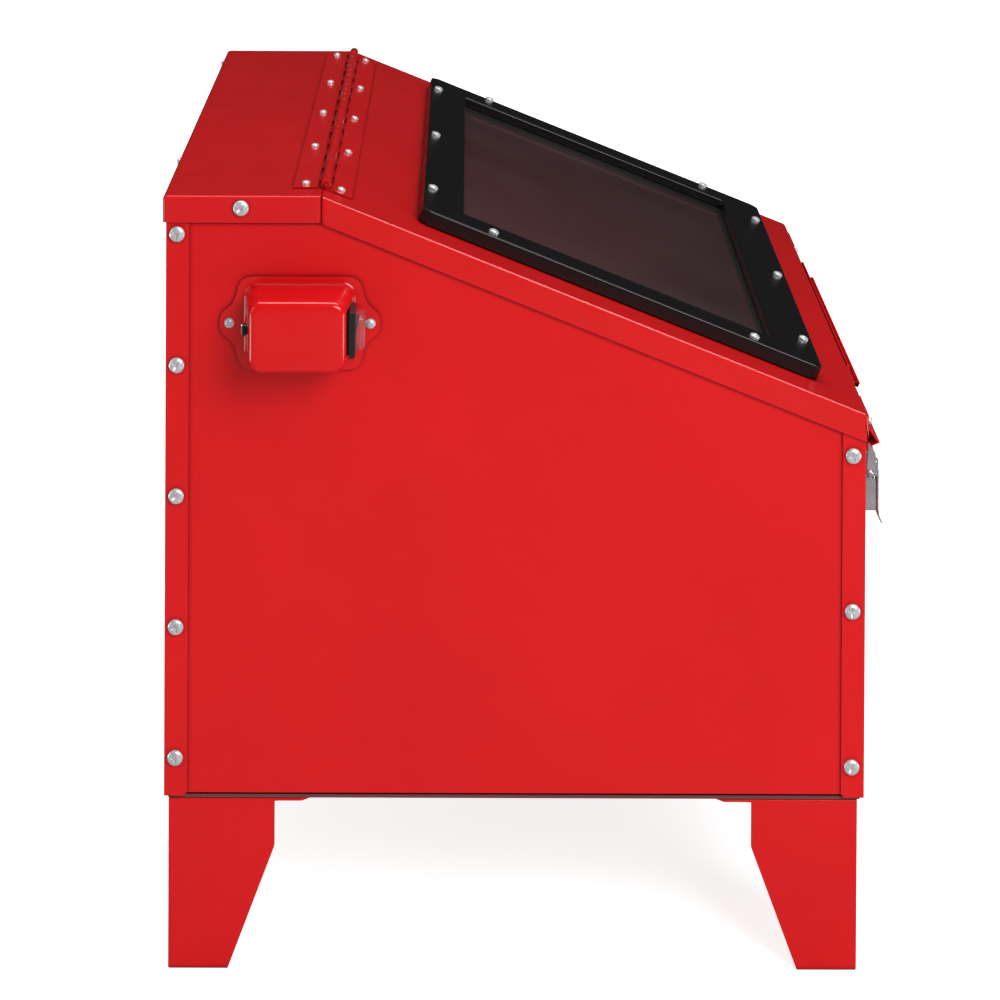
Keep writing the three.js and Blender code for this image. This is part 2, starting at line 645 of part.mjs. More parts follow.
// A hollow gauntlet, its cuff over the spigot and its hand closed at the far end.
function gloveSolid() {
  const wall = 2.6;
  const cuff = [[PORT_R + 3, 5], [PORT_R + 3, 32]];
  const sleeve = [[66, 60], [54, 130], [49, 180], [51, 220], [40, 262]];
  const inside = [
    ...cuff.map(([r, d]) => [r - wall, d]),
    ...sleeve.map(([r, d]) => [r - wall, d - 0.5]),
  ];
  const tip = [[20, 276], [0, 278], [0, 275], [20, 272]];
  const profile = [...cuff, ...sleeve, ...tip, ...inside.reverse(), cuff[0]];
  return turnedY(profile, [0, FRONT_Y, PORT_Z], 32);
}

for (const [side, x] of [['left', -PORT_X], ['right', PORT_X]]) {
  const port = new THREE.Group();
  port.position.x = x;
  port.add(
    named(`port_ring_${side}`, portRing(), BLACK),
    named(`glove_clamp_${side}`, gloveClamp(), ZINC),
    named(`glove_${side}`, gloveSolid(), RUBBER),
  );
  cabinet.add(port);
}

// ---- work grate and its rails -------------------------------------------------------------------
function workGrate() {
  const halfX = 270;
  const y = [-222, 225];
  const plate = box(-halfX, halfX, ...y, GRATE_Z, GRATE_Z + 2);
  const columns = 9;
  const rows = 7;
  const stepX = (2 * halfX - 16) / columns;
  const stepY = (y[1] - y[0] - 16) / rows;
  const holes = [];
  for (let i = 0; i < columns; i += 1) {
    for (let j = 0; j < rows; j += 1) {
      const x0 = -halfX + 8 + i * stepX + 3;
      const y0 = y[0] + 8 + j * stepY + 3;
      holes.push(box(x0, x0 + stepX - 6, y0, y0 + stepY - 6, GRATE_Z - 1, GRATE_Z + 3));
    }
  }
  const hosePass = box(-halfX - 1, -halfX + 68, y[0] - 1, y[0] + 60, GRATE_Z - 1, GRATE_Z + 3);
  return cut(plate, ...holes, hosePass);
}

function grateRail(side) {
  const x = [SIDE_X - SHEET - GAP, SIDE_X - SHEET - GAP - 24].map((v) => v * side);
  const wallX = [x[0], x[0] - 2 * side].sort((a, b) => a - b);
  const shelf = box(...x.sort((a, b) => a - b), -160, 222, GRATE_Z - GAP - 2, GRATE_Z - GAP);
  const wall = box(...wallX, -160, 222, GRATE_Z - GAP - 22, GRATE_Z - GAP);
  return join(shelf, wall);
}

cabinet.add(
  named('work_grate', workGrate(), STEEL),
  named('grate_rail_left', grateRail(-1), STEEL),
  named('grate_rail_right', grateRail(1), STEEL),
);

// ---- lamp under the top -------------------------------------------------------------------------
function lampHousing() {
  const y = 188;
  const top = TOP_Z - SHEET - GAP;
  return section([
    [y - 17, top - 14], [y - 12, top], [y + 12, top], [y + 17, top - 14],
    [y + 15.6, top - 14], [y + 11, top - 2], [y - 11, top - 2], [y - 15.6, top - 14],
  ], -135, 135);
}

function lampTube() {
  const z = TOP_Z - 16;
  const glass = rod([-128, 188, z], [128, 188, z], 7, 20);
  const caps = [-1, 1].map((side) => rod([124 * side, 188, z], [133 * side, 188, z], 7.8, 20));
  return join(glass, ...caps);
}

cabinet.add(
  named('lamp_housing', lampHousing(), LAMP_WHITE),
  named('lamp_tube', lampTube(), LAMP_WHITE),
);

// ---- air, media and exhaust ---------------------------------------------------------------------
function ventSpigot() {
  const r = VENT.r;
  return turnedY([
    [r - 2, -34], [r, -34], [r, -GAP - SHEET], [r - GAP, 0], [r - GAP, GAP], [r + 9, GAP],
    [r + 9, 2.4], [r, 2.4], [r, 30], [r - 2, 30], [r - 2, -34],
  ], [VENT.x, REAR_Y, VENT.z], 36);
}

function ventBaffle() {
  const y = REAR_Y - 46;
  const plate = box(VENT.x - 52, VENT.x + 52, y - 1.5, y, VENT.z - 60, VENT.z + 52);
  const stands = [-1, 1].map((side) => box(
    ...[VENT.x + 52 * side, VENT.x + 50.5 * side].sort((a, b) => a - b),
    y - 1, REAR_Y - SHEET - GAP, VENT.z - 60, VENT.z + 52));
  return join(plate, ...stands);
}

function inletFitting() {
  const at = (d) => [INLET.x, REAR_Y + d, INLET.z];
  const body = rod(at(-24), at(14), 6.8, 20);
  const nut = rod(at(GAP), at(6), 11, 6);
  const backNut = rod(at(-SHEET - GAP - 5), at(-SHEET - GAP), 11, 6);
  const nipple = rod(at(13), at(26), 4.6, 20);
  const collar = rod(at(22), at(27), 5.6, 20);
  return cut(join(body, nut, backNut, nipple, collar), rod(at(-30), at(30), 2.4, 12));
}

function gunBody() {
  const at = (d) => [0, GUN.y + d, GUN.z];
  const barrel = rod(at(-30), at(34), GUN.r, 24);
  const rear = rod(at(-46), at(-29), 7.5, 6);
  const barb = rod(at(-56), at(-45), 4, 16);
  const side = rod([0, GUN.y + 4, GUN.z], [-20, GUN.y + 4, GUN.z], 6, 16);
  const sideBarb = rod([-19, GUN.y + 4, GUN.z], [-30, GUN.y + 4, GUN.z], 4, 16);
  const ear = box(-3, 3, GUN.y - 24, GUN.y - 14, GUN.z + 8, GUN.z + 19);
  const valve = rod([0, GUN.y + 6, GUN.z + 9], [0, GUN.y + 6, GUN.z + 13], 3.4, 16);
  const pivotHole = rod([-5, GUN.y - 19, GUN.z + 15.5], [5, GUN.y - 19, GUN.z + 15.5], 2.2, 12);
  return cut(join(barrel, rear, barb, side, sideBarb, ear, valve), pivotHole);
}

function gunNozzle() {
  const nut = rod([0, GUN.y + 34 + GAP, GUN.z], [0, GUN.y + 46, GUN.z], 11.4, 24, 10);
  const tip = rod([0, GUN.y + 45, GUN.z], [0, GUN.y + 74, GUN.z], 7.4, 24, 6);
  return cut(join(nut, tip), rod([0, GUN.y + 30, GUN.z], [0, GUN.y + 80, GUN.z], 3.2, 16));
}

// Lever over the gun, pivoted on the ear.
function gunTrigger() {
  const cheeks = [-1, 1].map((side) => section([
    [GUN.y - 24, GUN.z + 12.5], [GUN.y - 14, GUN.z + 12.5], [GUN.y - 2, GUN.z + 19],
    [GUN.y - 2, GUN.z + 23], [GUN.y - 24, GUN.z + 22],
  ], ...[3.5 * side, 5 * side].sort((a, b) => a - b)));
  const blade = section([
    [GUN.y - 26, GUN.z + 21], [GUN.y + 4, GUN.z + 21], [GUN.y + 34, GUN.z + 26.5],
    [GUN.y + 36, GUN.z + 28.2], [GUN.y + 3, GUN.z + 22.8], [GUN.y - 26, GUN.z + 22.8],
  ], -6, 6);
  const pivot = rod([-5.4, GUN.y - 19, GUN.z + 15.5], [5.4, GUN.y - 19, GUN.z + 15.5], 1.9, 12);
  return join(...cheeks, blade, pivot);
}

const gunRear = GUN.y - 48;
const airHose = hose([
  [0, gunRear - 9.5, GUN.z], [1, gunRear - 17, GUN.z], [14, gunRear - 30, GUN.z - 3],
  [64, -213, 162], [150, -214, 161], [236, -200, 161], [260, -120, 161], [260, 40, 161],
  [252, 130, 166], [228, 185, 183], [INLET.x, 212, INLET.z],
], 6, 44);
const suctionHose = hose([
  [-31.5, GUN.y + 4, GUN.z], [-40, GUN.y + 3.5, GUN.z], [-62, GUN.y - 8, GUN.z - 3],
  [-120, -176, 163], [-200, -206, 161], [-246, -204, 148], [-252, -188, 134],
  [-238, -150, 130], [-226, -128, 129.5],
], 6, 36);
const pickupTube = cut(
  rod([-225.6, -127, 129.5], [-150, -20, 129.5], 5.6, 16),
  rod([-232, -136, 129.5], [-140, -6, 129.5], 4, 12));

cabinet.add(
  named('vent_spigot', ventSpigot(), BLACK),
  named('vent_baffle', ventBaffle(), STEEL),
  named('air_inlet_fitting', inletFitting(), BRASS),
  named('gun_body', gunBody(), STEEL),
  named('gun_nozzle', gunNozzle(), CERAMIC),
  named('gun_trigger', gunTrigger(), BLACK),
  named('air_hose', airHose, RUBBER),
  named('suction_hose', suctionHose, CLEAR),
  named('pickup_tube', pickupTube, STEEL),
);

// ---- origin -------------------------------------------------------------------------------------
const outlineBox = new THREE.Box3().setFromObject(cabinet);
const middle = outlineBox.getCenter(new THREE.Vector3());
cabinet.position.set(-middle.x, -middle.y, 0);

export default cabinet;
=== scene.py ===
"""Looks for the bench-top blast cabinet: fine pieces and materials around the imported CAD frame."""
import json
from math import cos, pi, radians, sin, sqrt

import bmesh
import bpy
from mathutils import Matrix, Vector


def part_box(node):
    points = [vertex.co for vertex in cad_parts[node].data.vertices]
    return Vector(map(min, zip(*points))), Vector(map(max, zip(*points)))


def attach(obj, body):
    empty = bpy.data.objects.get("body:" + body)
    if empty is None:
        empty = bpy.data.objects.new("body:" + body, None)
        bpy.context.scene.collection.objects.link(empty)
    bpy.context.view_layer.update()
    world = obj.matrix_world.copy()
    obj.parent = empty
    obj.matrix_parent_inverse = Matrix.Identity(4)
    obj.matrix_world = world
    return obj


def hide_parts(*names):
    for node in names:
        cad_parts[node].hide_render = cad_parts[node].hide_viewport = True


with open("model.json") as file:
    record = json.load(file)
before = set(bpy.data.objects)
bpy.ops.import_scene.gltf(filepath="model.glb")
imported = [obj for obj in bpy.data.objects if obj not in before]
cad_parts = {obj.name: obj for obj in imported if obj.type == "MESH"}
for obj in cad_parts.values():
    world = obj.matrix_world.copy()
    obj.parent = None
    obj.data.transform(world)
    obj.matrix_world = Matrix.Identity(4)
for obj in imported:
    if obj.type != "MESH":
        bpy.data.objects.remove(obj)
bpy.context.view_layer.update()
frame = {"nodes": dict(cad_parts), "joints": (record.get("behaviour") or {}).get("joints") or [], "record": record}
MM = 0.001
JOINTS = {joint["name"]: Vector(joint["pos_m"]) for joint in frame["joints"]}
SIDES = ("left", "right")
LEGS = [node for node in frame["nodes"] if node.startswith("leg_")]
BODY_OF = {node: body for body, members in frame["record"]["behaviour"]["bodies"].items()
           for node in members}


def mm(x, y, z):
    """A vector in metres from millimetres."""
    return Vector((x, y, z)) * MM


# ---- node helpers ----
class Nodes:
    """A node tree, short to write: inputs take values or other nodes' outputs."""

    def __init__(self, owner, shader):
        owner.use_nodes = True
        self.tree = owner.node_tree
        self.shader = self.tree.nodes[shader]

    def feed(self, node, inputs):
        for key, value in inputs.items():
            if isinstance(value, bpy.types.NodeSocket):
                self.tree.links.new(value, node.inputs[key])
            else:
                node.inputs[key].default_value = value

    def add(self, kind, inputs=(), **settings):
        node = self.tree.nodes.new(f"ShaderNode{kind}")
        for key, value in settings.items():
            setattr(node, key, value)
        self.feed(node, dict(inputs))
        return node

    def finish(self, **inputs):
        """Feeds the main shader; underscores stand for the spaces in its inputs' names."""
        self.feed(self.shader, {key.replace("_", " "): value for key, value in inputs.items()})

    def remap(self, value, low, high, from_low=0.3, from_high=0.7):
        return self.add("MapRange", {"Value": value, "From Min": from_low, "From Max": from_high,
                                     "To Min": low, "To Max": high}).outputs["Result"]


class Material(Nodes):
    """A new material's node tree, with textures that follow the object."""

    def __init__(self, name):
        self.made = bpy.data.materials.new(name)
        super().__init__(self.made, "Principled BSDF")
        self.place = self.add("TexCoord").outputs["Object"]

    def finish(self, **inputs):
        super().finish(**inputs)
        return self.made

    def finish_with(self, shader):
        """Gives the material another surface than the main shader."""
        self.feed(self.tree.nodes["Material Output"], {"Surface": shader})
        return self.made

    def stretched(self, scale):
        """Object coordinates scaled by a factor per axis."""
        return self.add("Mapping", {"Vector": self.place, "Scale": scale}).outputs["Vector"]

    def noise(self, scale, detail=3.0, rough=0.5, vector=None):
        return self.add("TexNoise", {"Vector": vector or self.place, "Scale": scale,
                                     "Detail": detail, "Roughness": rough}).outputs["Fac"]

    def cells(self, scale):
        return self.add("TexVoronoi", {"Vector": self.place, "Scale": scale}).outputs

    def ramp(self, value, *stops):
        node = self.add("ValToRGB", {"Fac": value})
        points = node.color_ramp.elements
        while len(points) < len(stops):
            points.new(0.5)
        for point, (position, colour) in zip(points, stops):
            point.position = position
            point.color = (*colour, 1.0)
        return node.outputs["Color"]

    def mottle(self, value, colour, low, high, start=0.3, end=0.7):
        """A colour that wanders between a darker and a lighter shade of itself."""
        return self.ramp(value, (start, shade(colour, low)), (end, shade(colour, high)))

    def bump(self, height, distance, strength):
        """A normal from a height of so many millimetres."""
        return self.add("Bump", {"Height": height, "Distance": distance * MM,
                                 "Strength": strength}).outputs["Normal"]

    def maths(self, operation, *values):
        return self.add("Math", enumerate(values), operation=operation).outputs[0]

    def mix(self, share, first, second):
        """A blend of two shaders, from the first at a share of 0 to the second at 1."""
        return self.add("MixShader", {0: share, 1: first, 2: second}).outputs[0]

    def diffuse(self, colour):
        return self.add("BsdfDiffuse", {"Color": (*colour, 1.0)}).outputs[0]


def shade(colour, factor):
    return tuple(min(1.0, channel * factor) for channel in colour)


# ---- materials ----
SEAM_SHADE = 3.5 * MM  # how far from a seam the painted shade reaches


def powder_coat(name, colour, rough, peel, gloss):
    """Sprayed powder coat: slight cloudiness, orange peel, painted shade at the seams and a thin gloss over it."""
    m = Material(name)
    paint = m.mottle(m.noise(5.0, 4.0, 0.55), colour, 0.93, 1.05)
    # Painted shade: ambient occlusion darkens the paint's colour near seams and steps, where shadow falls.
    seam_painted_shade = m.add("AmbientOcclusion", {"Distance": SEAM_SHADE, "Color": paint}, samples=6)
    return m.finish(Base_Color=seam_painted_shade.outputs["Color"],
                    Roughness=m.remap(m.noise(38.0), rough - 0.05, rough + 0.06),
                    Normal=m.bump(m.noise(520.0, 2.0, 0.45), peel, 0.5),
                    Metallic=0.0, Coat_Weight=gloss, Coat_Roughness=0.09, Specular_IOR_Level=0.15)


def zinc_plate(name, colour, rough, metal):
    """Bright zinc: faint cloudy passivation and drawn scratches."""
    m = Material(name)
    cloud = m.noise(90.0, 4.0, 0.6)
    streak = m.noise(60.0, 2.0, 0.5, m.stretched((1.0, 30.0, 1.0)))
    return m.finish(Base_Color=m.ramp(cloud, (0.3, shade(colour, 0.86)), (0.55, colour),
                                      (0.75, shade(colour, 1.12))),
                    Roughness=m.remap(streak, rough - 0.06, rough + 0.1),
                    Normal=m.bump(streak, 0.02, 0.35), Metallic=metal)


def galvanised(name, colour):
    """Hot-dip galvanised sheet with its spangle of large dull crystals."""
    m = Material(name)
    grey = m.add("RGBToBW", {"Color": m.cells(110.0)["Color"]}).outputs["Val"]
    return m.finish(Base_Color=m.mottle(grey, colour, 0.8, 1.15, 0.1, 0.9),
                    Roughness=m.remap(grey, 0.34, 0.55, 0.0, 1.0),
                    Normal=m.bump(m.noise(300.0), 0.03, 0.4), Metallic=0.95)


def gloss_black(name):
    """Black stove enamel: deep, with a soft orange peel and faint dust."""
    m = Material(name)
    dust = m.noise(700.0, 6.0, 0.7)
    return m.finish(Base_Color=m.ramp(dust, (0.55, (0.006, 0.005, 0.005)), (0.8, (0.022, 0.019, 0.018))),
                    Roughness=m.remap(m.noise(45.0), 0.17, 0.27),
                    Normal=m.bump(m.noise(260.0, 2.0), 0.05, 0.4),
                    Coat_Weight=0.14, Coat_Roughness=0.10, Specular_IOR_Level=0.3)


def moulded_plastic(name, colour, rough):
    """Injection-moulded plastic with a fine spark-eroded grain."""
    m = Material(name)
    return m.finish(Base_Color=m.mottle(m.noise(25.0), colour, 0.85, 1.15),
                    Roughness=m.remap(m.noise(120.0), rough - 0.06, rough + 0.07),
                    Normal=m.bump(m.noise(1500.0, 2.0, 0.6), 0.06, 0.6))


def rubber(name, colour, dust, grain):
    """Matt rubber: chalky bloom in the hollows and a pebbled skin."""
    m = Material(name)
    bloom = m.noise(28.0, 5.0, 0.65)
    return m.finish(Base_Color=m.ramp(bloom, (0.35, colour), (0.75, dust)),
                    Roughness=m.remap(bloom, 0.55, 0.82),
                    Normal=m.bump(m.noise(900.0, 3.0, 0.6), grain, 0.7),
                    Sheen_Weight=0.12, Specular_IOR_Level=0.35)


def clear_sheet(name, tint, haze, rough):
    """Clear sheet plastic: tinted see-through, a dusty veil, and a mirror at a glancing angle.

    Only outer faces mirror: seen from inside the sheet, a face would mirror everything."""
    m = Material(name)
    through = m.add("BsdfTransparent", {"Color": (*tint, 1.0)}).outputs[0]
    skin_rough = m.remap(m.noise(35.0, 5.0, 0.6), rough, rough + 0.05)
    mirror = m.add("BsdfGlossy", {"Roughness": skin_rough}).outputs[0]
    dust = m.remap(m.noise(9.0, 3.0, 0.5), haze * 0.75, haze * 1.25)
    veil = m.mix(dust, through, m.diffuse((0.78, 0.72, 0.74)))
    fresnel = m.add("Fresnel", {"IOR": 1.5}).outputs[0]
    outer = m.maths("LESS_THAN", m.add("NewGeometry").outputs["Backfacing"], 0.5)
    return m.finish_with(m.mix(m.maths("MULTIPLY", fresnel, outer), veil, mirror))


def foam(name):
    """Closed-cell foam with open cut cells."""
    m = Material(name)
    cell = m.cells(1400.0)["Distance"]
    return m.finish(Base_Color=m.ramp(cell, (0.1, (0.008, 0.008, 0.009)), (0.6, (0.03, 0.03, 0.032))),
                    Normal=m.bump(cell, 0.3, 0.8), Roughness=0.95, Specular_IOR_Level=0.2)


def cast_metal(name, colour, rough):
    """Machined casting: fine turning lines over a slightly cloudy metal."""
    m = Material(name)
    lines = m.noise(240.0, 2.0, 0.5, m.stretched((1.0, 8.0, 1.0)))
    return m.finish(Base_Color=m.mottle(m.noise(40.0, 5.0), colour, 0.82, 1.08),
                    Roughness=m.remap(lines, rough - 0.07, rough + 0.09),
                    Normal=m.bump(lines, 0.02, 0.5), Metallic=1.0)


def glazed(name, clouds, dark, light, grain, **inputs):
    """Ceramic or opal glass: a milky body between two tones, with a fine grain under its glaze."""
    m = Material(name)
    scale, height, strength = grain
    return m.finish(Base_Color=m.ramp(m.noise(*clouds), (0.3, dark), (0.7, light)),
                    Normal=m.bump(m.noise(scale), height, strength), **inputs)


def studio_floor(name):
    """White sweep: evenly lit far from the object, and dull where glossy paint would mirror it."""
    m = Material(name)
    tone = m.noise(1.5)
    path = m.add("LightPath").outputs
    distance = m.add("VectorMath", {0: m.place}, operation="LENGTH").outputs["Value"]
    near_to_far = m.remap(distance, 0.66, 0.90, 0.4, 1.6)
    m.finish(Base_Color=m.ramp(tone, (0.3, (0.84,) * 3), (0.7, (0.86,) * 3)),
             Roughness=0.85, Specular_IOR_Level=0.0, Emission_Color=(1, 1, 1, 1),
             Emission_Strength=m.maths("MULTIPLY_ADD", near_to_far, path["Is Camera Ray"], 0.15))
    return m.finish_with(m.mix(path["Is Glossy Ray"], m.shader.outputs[0], m.diffuse((0.16,) * 3)))


RED = powder_coat("panel_red", (0.600, 0.0045, 0.0065), 0.42, 0.04, 0.25)
LID_RED = powder_coat("lid_red", (0.580, 0.0060, 0.0075), 0.34, 0.03, 0.5)
GLOSS_RED = powder_coat("gloss_red", (0.620, 0.0055, 0.0075), 0.22, 0.02, 0.8)
# The panel red made dark and dull for the bottom panel: painted shade of the underside.
BOTTOM_SHADE_RED = powder_coat("bottom_red", (0.150, 0.0450, 0.0480), 0.55, 0.05, 0.0)
ZINC = zinc_plate("zinc", (0.80, 0.81, 0.84), 0.26, 0.85)
SCREW_ZINC = zinc_plate("screw_zinc", (0.90, 0.92, 0.95), 0.28, 0.65)
GALVANISED = galvanised("galvanised", (0.52, 0.53, 0.55))
BLACK_ENAMEL = gloss_black("black_enamel")
BLACK_PLASTIC = moulded_plastic("black_plastic", (0.014, 0.014, 0.015), 0.38)
GLOVE_RUBBER = rubber("glove_rubber", (0.010, 0.010, 0.011), (0.035, 0.034, 0.034), 0.12)
HOSE_RUBBER = rubber("hose_rubber", (0.012, 0.012, 0.013), (0.04, 0.04, 0.04), 0.08)
PANE_CLEAR = clear_sheet("pane_clear", (0.46, 0.46, 0.47), 0.030, 0.02)
BOOT_CLEAR = clear_sheet("boot_clear", (0.97, 0.97, 0.98), 0.025, 0.05)
HOSE_CLEAR = clear_sheet("hose_clear", (0.80, 0.82, 0.80), 0.45, 0.15)
SEAL_FOAM = foam("seal_foam")
GUN_ALLOY = cast_metal("gun_alloy", (0.62, 0.63, 0.65), 0.34)
BRASS = cast_metal("brass", (0.72, 0.52, 0.22), 0.28)
CERAMIC = glazed("ceramic", (60.0, 5.0), (0.62, 0.58, 0.50), (0.78, 0.75, 0.68),
                 (800.0, 0.03, 0.5), Roughness=0.45, Coat_Weight=0.2)
OPAL = glazed("opal_glass", (20.0,), (0.80, 0.81, 0.80), (0.90, 0.91, 0.90),
              (150.0, 0.02, 0.3), Roughness=0.2, Coat_Weight=0.5, Subsurface_Weight=0.1)


# ---- mesh helpers ----
def skin(name, shape, material, smooth):
    """A smooth-shaded mesh from a bmesh, with edges above an angle kept sharp."""
    mesh = bpy.data.meshes.new(name)
    bmesh.ops.recalc_face_normals(shape, faces=shape.faces)
    shape.to_mesh(mesh)
    shape.free()
    mesh.materials.append(material)
    mesh.shade_smooth()
    mesh.set_sharp_from_angle(angle=radians(smooth))
    return mesh


def in_scene(name, data):
    """A new object of the scene."""
    made = bpy.data.objects.new(name, data)
    bpy.context.scene.collection.objects.link(made)
    return made


def piece(name, shape, material, node=None, smooth=35):
    """A finished object on the body of the node it replaces, which it hides, or else on the cabinet."""
    made = in_scene(name, skin(name, shape, material, smooth))
    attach(made, BODY_OF.get(node, "cabinet"))
    if node:
        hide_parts(node)
    return made


def centre_of(node):
    low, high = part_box(node)
    return (low + high) / 2


def on_wall(node, y):
    """The centre of a node seen from the front, at a depth y."""
    centre = centre_of(node)
    return Vector((centre.x, y, centre.z))


def edge_width(edge):
    """Width of the narrower face beside an edge, taken as its area over the edge's length."""
    return min(face.calc_area() for face in edge.link_faces) / max(edge.calc_length(), 1e-9)


def sharp_edges(shape, degrees):
    limit = radians(degrees)
    return [e for e in shape.edges if len(e.link_faces) == 2 and e.calc_face_angle(0.0) > limit]


def round_edges(shape, edges, radius, segments, clamp=True):
    if edges:
        bmesh.ops.bevel(shape, geom=edges, offset=radius, offset_type="OFFSET", segments=segments,
                        profile=0.5, affect="EDGES", clamp_overlap=clamp, loop_slide=True)


def soften(shape, radius, segments, degrees=30.0):
    """Rounds all the sharp edges of a shape, by a radius in millimetres."""
    round_edges(shape, sharp_edges(shape, degrees), radius * MM, segments)
    return shape


def refined(node, fold=2.2, rim=0.3, wide=3.5, sheet=1.2, hem=None):
    """The CAD solid with rounded folds between its wide faces and broken rims elsewhere.

    A hem radius, where given, is for the folds beside a face that looks down."""
    shape = bmesh.new()
    shape.from_mesh(frame["nodes"][node].data)
    bmesh.ops.remove_doubles(shape, verts=shape.verts, dist=0.005 * MM)
    bmesh.ops.dissolve_limit(shape, angle_limit=radians(1.5), verts=shape.verts,
                             edges=shape.edges)

    def folds(convex, degrees):
        return [e for e in sharp_edges(shape, degrees)
                if e.is_convex == convex and edge_width(e) > wide * MM]

    def looks_down(edge):
        return min(face.normal.z for face in edge.link_faces) < -0.5

    outer = [e for e in folds(True, 15.0) if not (hem and looks_down(e))]
    round_edges(shape, outer, fold * MM, 5, clamp=fold < 2.9)
    if hem:
        round_edges(shape, list(filter(looks_down, folds(True, 15.0))), hem * MM, 3)
    round_edges(shape, folds(False, 30.0), max(fold - sheet, 0.4) * MM, 4)
    return soften(shape, rim, 2)


def wide_faces(shape):
    """Indices of the flat sheet faces: wide, and not one of a curved surface's equal facets."""
    width = {f: 2 * f.calc_area() / max(f.calc_perimeter(), 1e-9) for f in shape.faces}
    wide = set()
    for face in shape.faces:
        if width[face] < 0.9 * MM:
            continue
        beside = [(e.calc_face_angle(0.0), other) for e in face.edges for other in e.link_faces
                  if other is not face and len(e.link_faces) == 2]
        if not any(0.03 < angle < 0.6 and width[other] > 0.5 * width[face] for angle, other in beside):
            wide.add(face.index)
    return wide


def harden(mesh, wide):
    """Keeps flat faces flat in the shading and lets the narrow strips beside them bend the light."""
    around = {}
    for polygon in mesh.polygons:
        for vertex in polygon.vertices:
            around.setdefault(vertex, []).append(polygon)
    normals = []
    for polygon in mesh.polygons:
        for vertex in polygon.vertices:
            normal = polygon.normal
            if polygon.index not in wide:
                near = [p for p in around[vertex] if p.normal.dot(normal) > 0.5]
                flat = [p for p in near if p.index in wide]
                if flat:
                    normal = max(flat, key=lambda p: p.normal.dot(polygon.normal)).normal
                else:
                    normal = sum((p.normal * p.area for p in near), Vector()).normalized()
            normals.append(normal.copy())
    mesh.normals_split_custom_set(normals)


def refine(node, material, fold=2.2, rim=0.3, curved=False, **options):
    shape = refined(node, fold, rim, **options)
    shape.faces.index_update()
    wide = set() if curved else wide_faces(shape)
    made = piece(f"{node}_skin", shape, material, node)
    if not curved:
        harden(made.data, wide)
    return made


def lathed(profile, origin, segments, axis=(0, 1, 0)):
    """A closed solid turned about an axis; the profile's pairs are (radius, distance along) in mm."""
    shape = bmesh.new()
    direction = Vector(axis).normalized()
    side = direction.orthogonal().normalized()
    other = direction.cross(side)
    pairs = [(radius * MM, along * MM) for radius, along in profile]
    rings = []
    for i in range(segments):
        turn = 2 * pi * i / segments
        out = side * cos(turn) + other * sin(turn)
        rings.append([shape.verts.new(Vector(origin) + out * r + direction * d) for r, d in pairs])
    for here, after in zip(rings, rings[1:] + rings[:1]):
        for j, (radius, _) in enumerate(pairs):
            k = (j + 1) % len(pairs)
            if radius > 1e-7 or pairs[k][0] > 1e-7:
                shape.faces.new((here[j], here[k], after[k], after[j]))
    bmesh.ops.remove_doubles(shape, verts=shape.verts, dist=1e-6)
    return shape


def add_to(shape, other):
    """Moves another bmesh's contents into a shape."""
    mesh = bpy.data.meshes.new("joined")
    other.to_mesh(mesh)
    other.free()
    shape.from_mesh(mesh)
    bpy.data.meshes.remove(mesh)


def bridge(shape, rings, start=True, end=True):
    """Joins closed rings of vertices into a skin, with a face over its start and its end."""
    for here, after in zip(rings, rings[1:]):
        for j in range(len(here)):
            k = (j + 1) % len(here)
            shape.faces.new((here[j], here[k], after[k], after[j]))
    if start:
        shape.faces.new(list(reversed(rings[0])))
    if end:
        shape.faces.new(rings[-1])


def swept(points, radius, sides, steps):
    """A round bar along a smooth curve through the points, closed at both ends.

    radius gives the bar's radius at a share of the way along it."""
    path = smooth_path([Vector(p) for p in points], steps)
    shape = bmesh.new()
    rings = []
    normal = (path[1] - path[0]).orthogonal().normalized()
    for i, point in enumerate(path):
        tangent = (path[min(i + 1, len(path) - 1)] - path[max(i - 1, 0)]).normalized()
        normal = (normal - tangent * normal.dot(tangent)).normalized()
        other = tangent.cross(normal)
        size = radius(i / (len(path) - 1))
        rings.append([shape.verts.new(point + (normal * cos(a) + other * sin(a)) * size)
                      for a in (2 * pi * j / sides for j in range(sides))])
    bridge(shape, rings)
    return shape


def curve_point(before, start, end, after, t):
    """Catmull-Rom point between start and end."""
    return 0.5 * (2 * start + (end - before) * t
                  + (2 * before - 5 * start + 4 * end - after) * t * t
                  + (3 * start - before - 3 * end + after) * t ** 3)


def smooth_path(points, steps):
    """Samples of a smooth curve through a list of points."""
    padded = [points[0] * 2 - points[1], *points, points[-1] * 2 - points[-2]]
    samples = [curve_point(*padded[i - 1:i + 3], j / steps)
               for i in range(1, len(padded) - 2) for j in range(steps)]
    return samples + [points[-1]]


def prism(outline, low, high):
    """A solid between an outline of 3-D points moved by the vector low and the same moved by high."""
    shape = bmesh.new()
    bridge(shape, [[shape.verts.new(Vector(p) + Vector(move)) for p in outline]
                   for move in (low, high)])
    return shape


# ---- fasteners ----
def cross_recess(shape, radius, depth, top):
    """Cuts a tapered cross recess into the top of a head that faces +Z."""
    cutter = bmesh.new()
    arm, thick, taper = radius * 0.70, radius * 0.15, 0.42
    corners = [(-arm, -thick), (arm, -thick), (arm, thick), (-arm, thick)]
    for c, s in ((1, 0), (0, 1)):
        bridge(cutter, [
            [cutter.verts.new((x * scale * c - y * s, x * scale * s + y * c, z)) for x, y in corners]
            for scale, z in ((1.0, top + radius), (1.0, top - depth * 0.15), (taper, top - depth))])
    return subtract(shape, cutter)


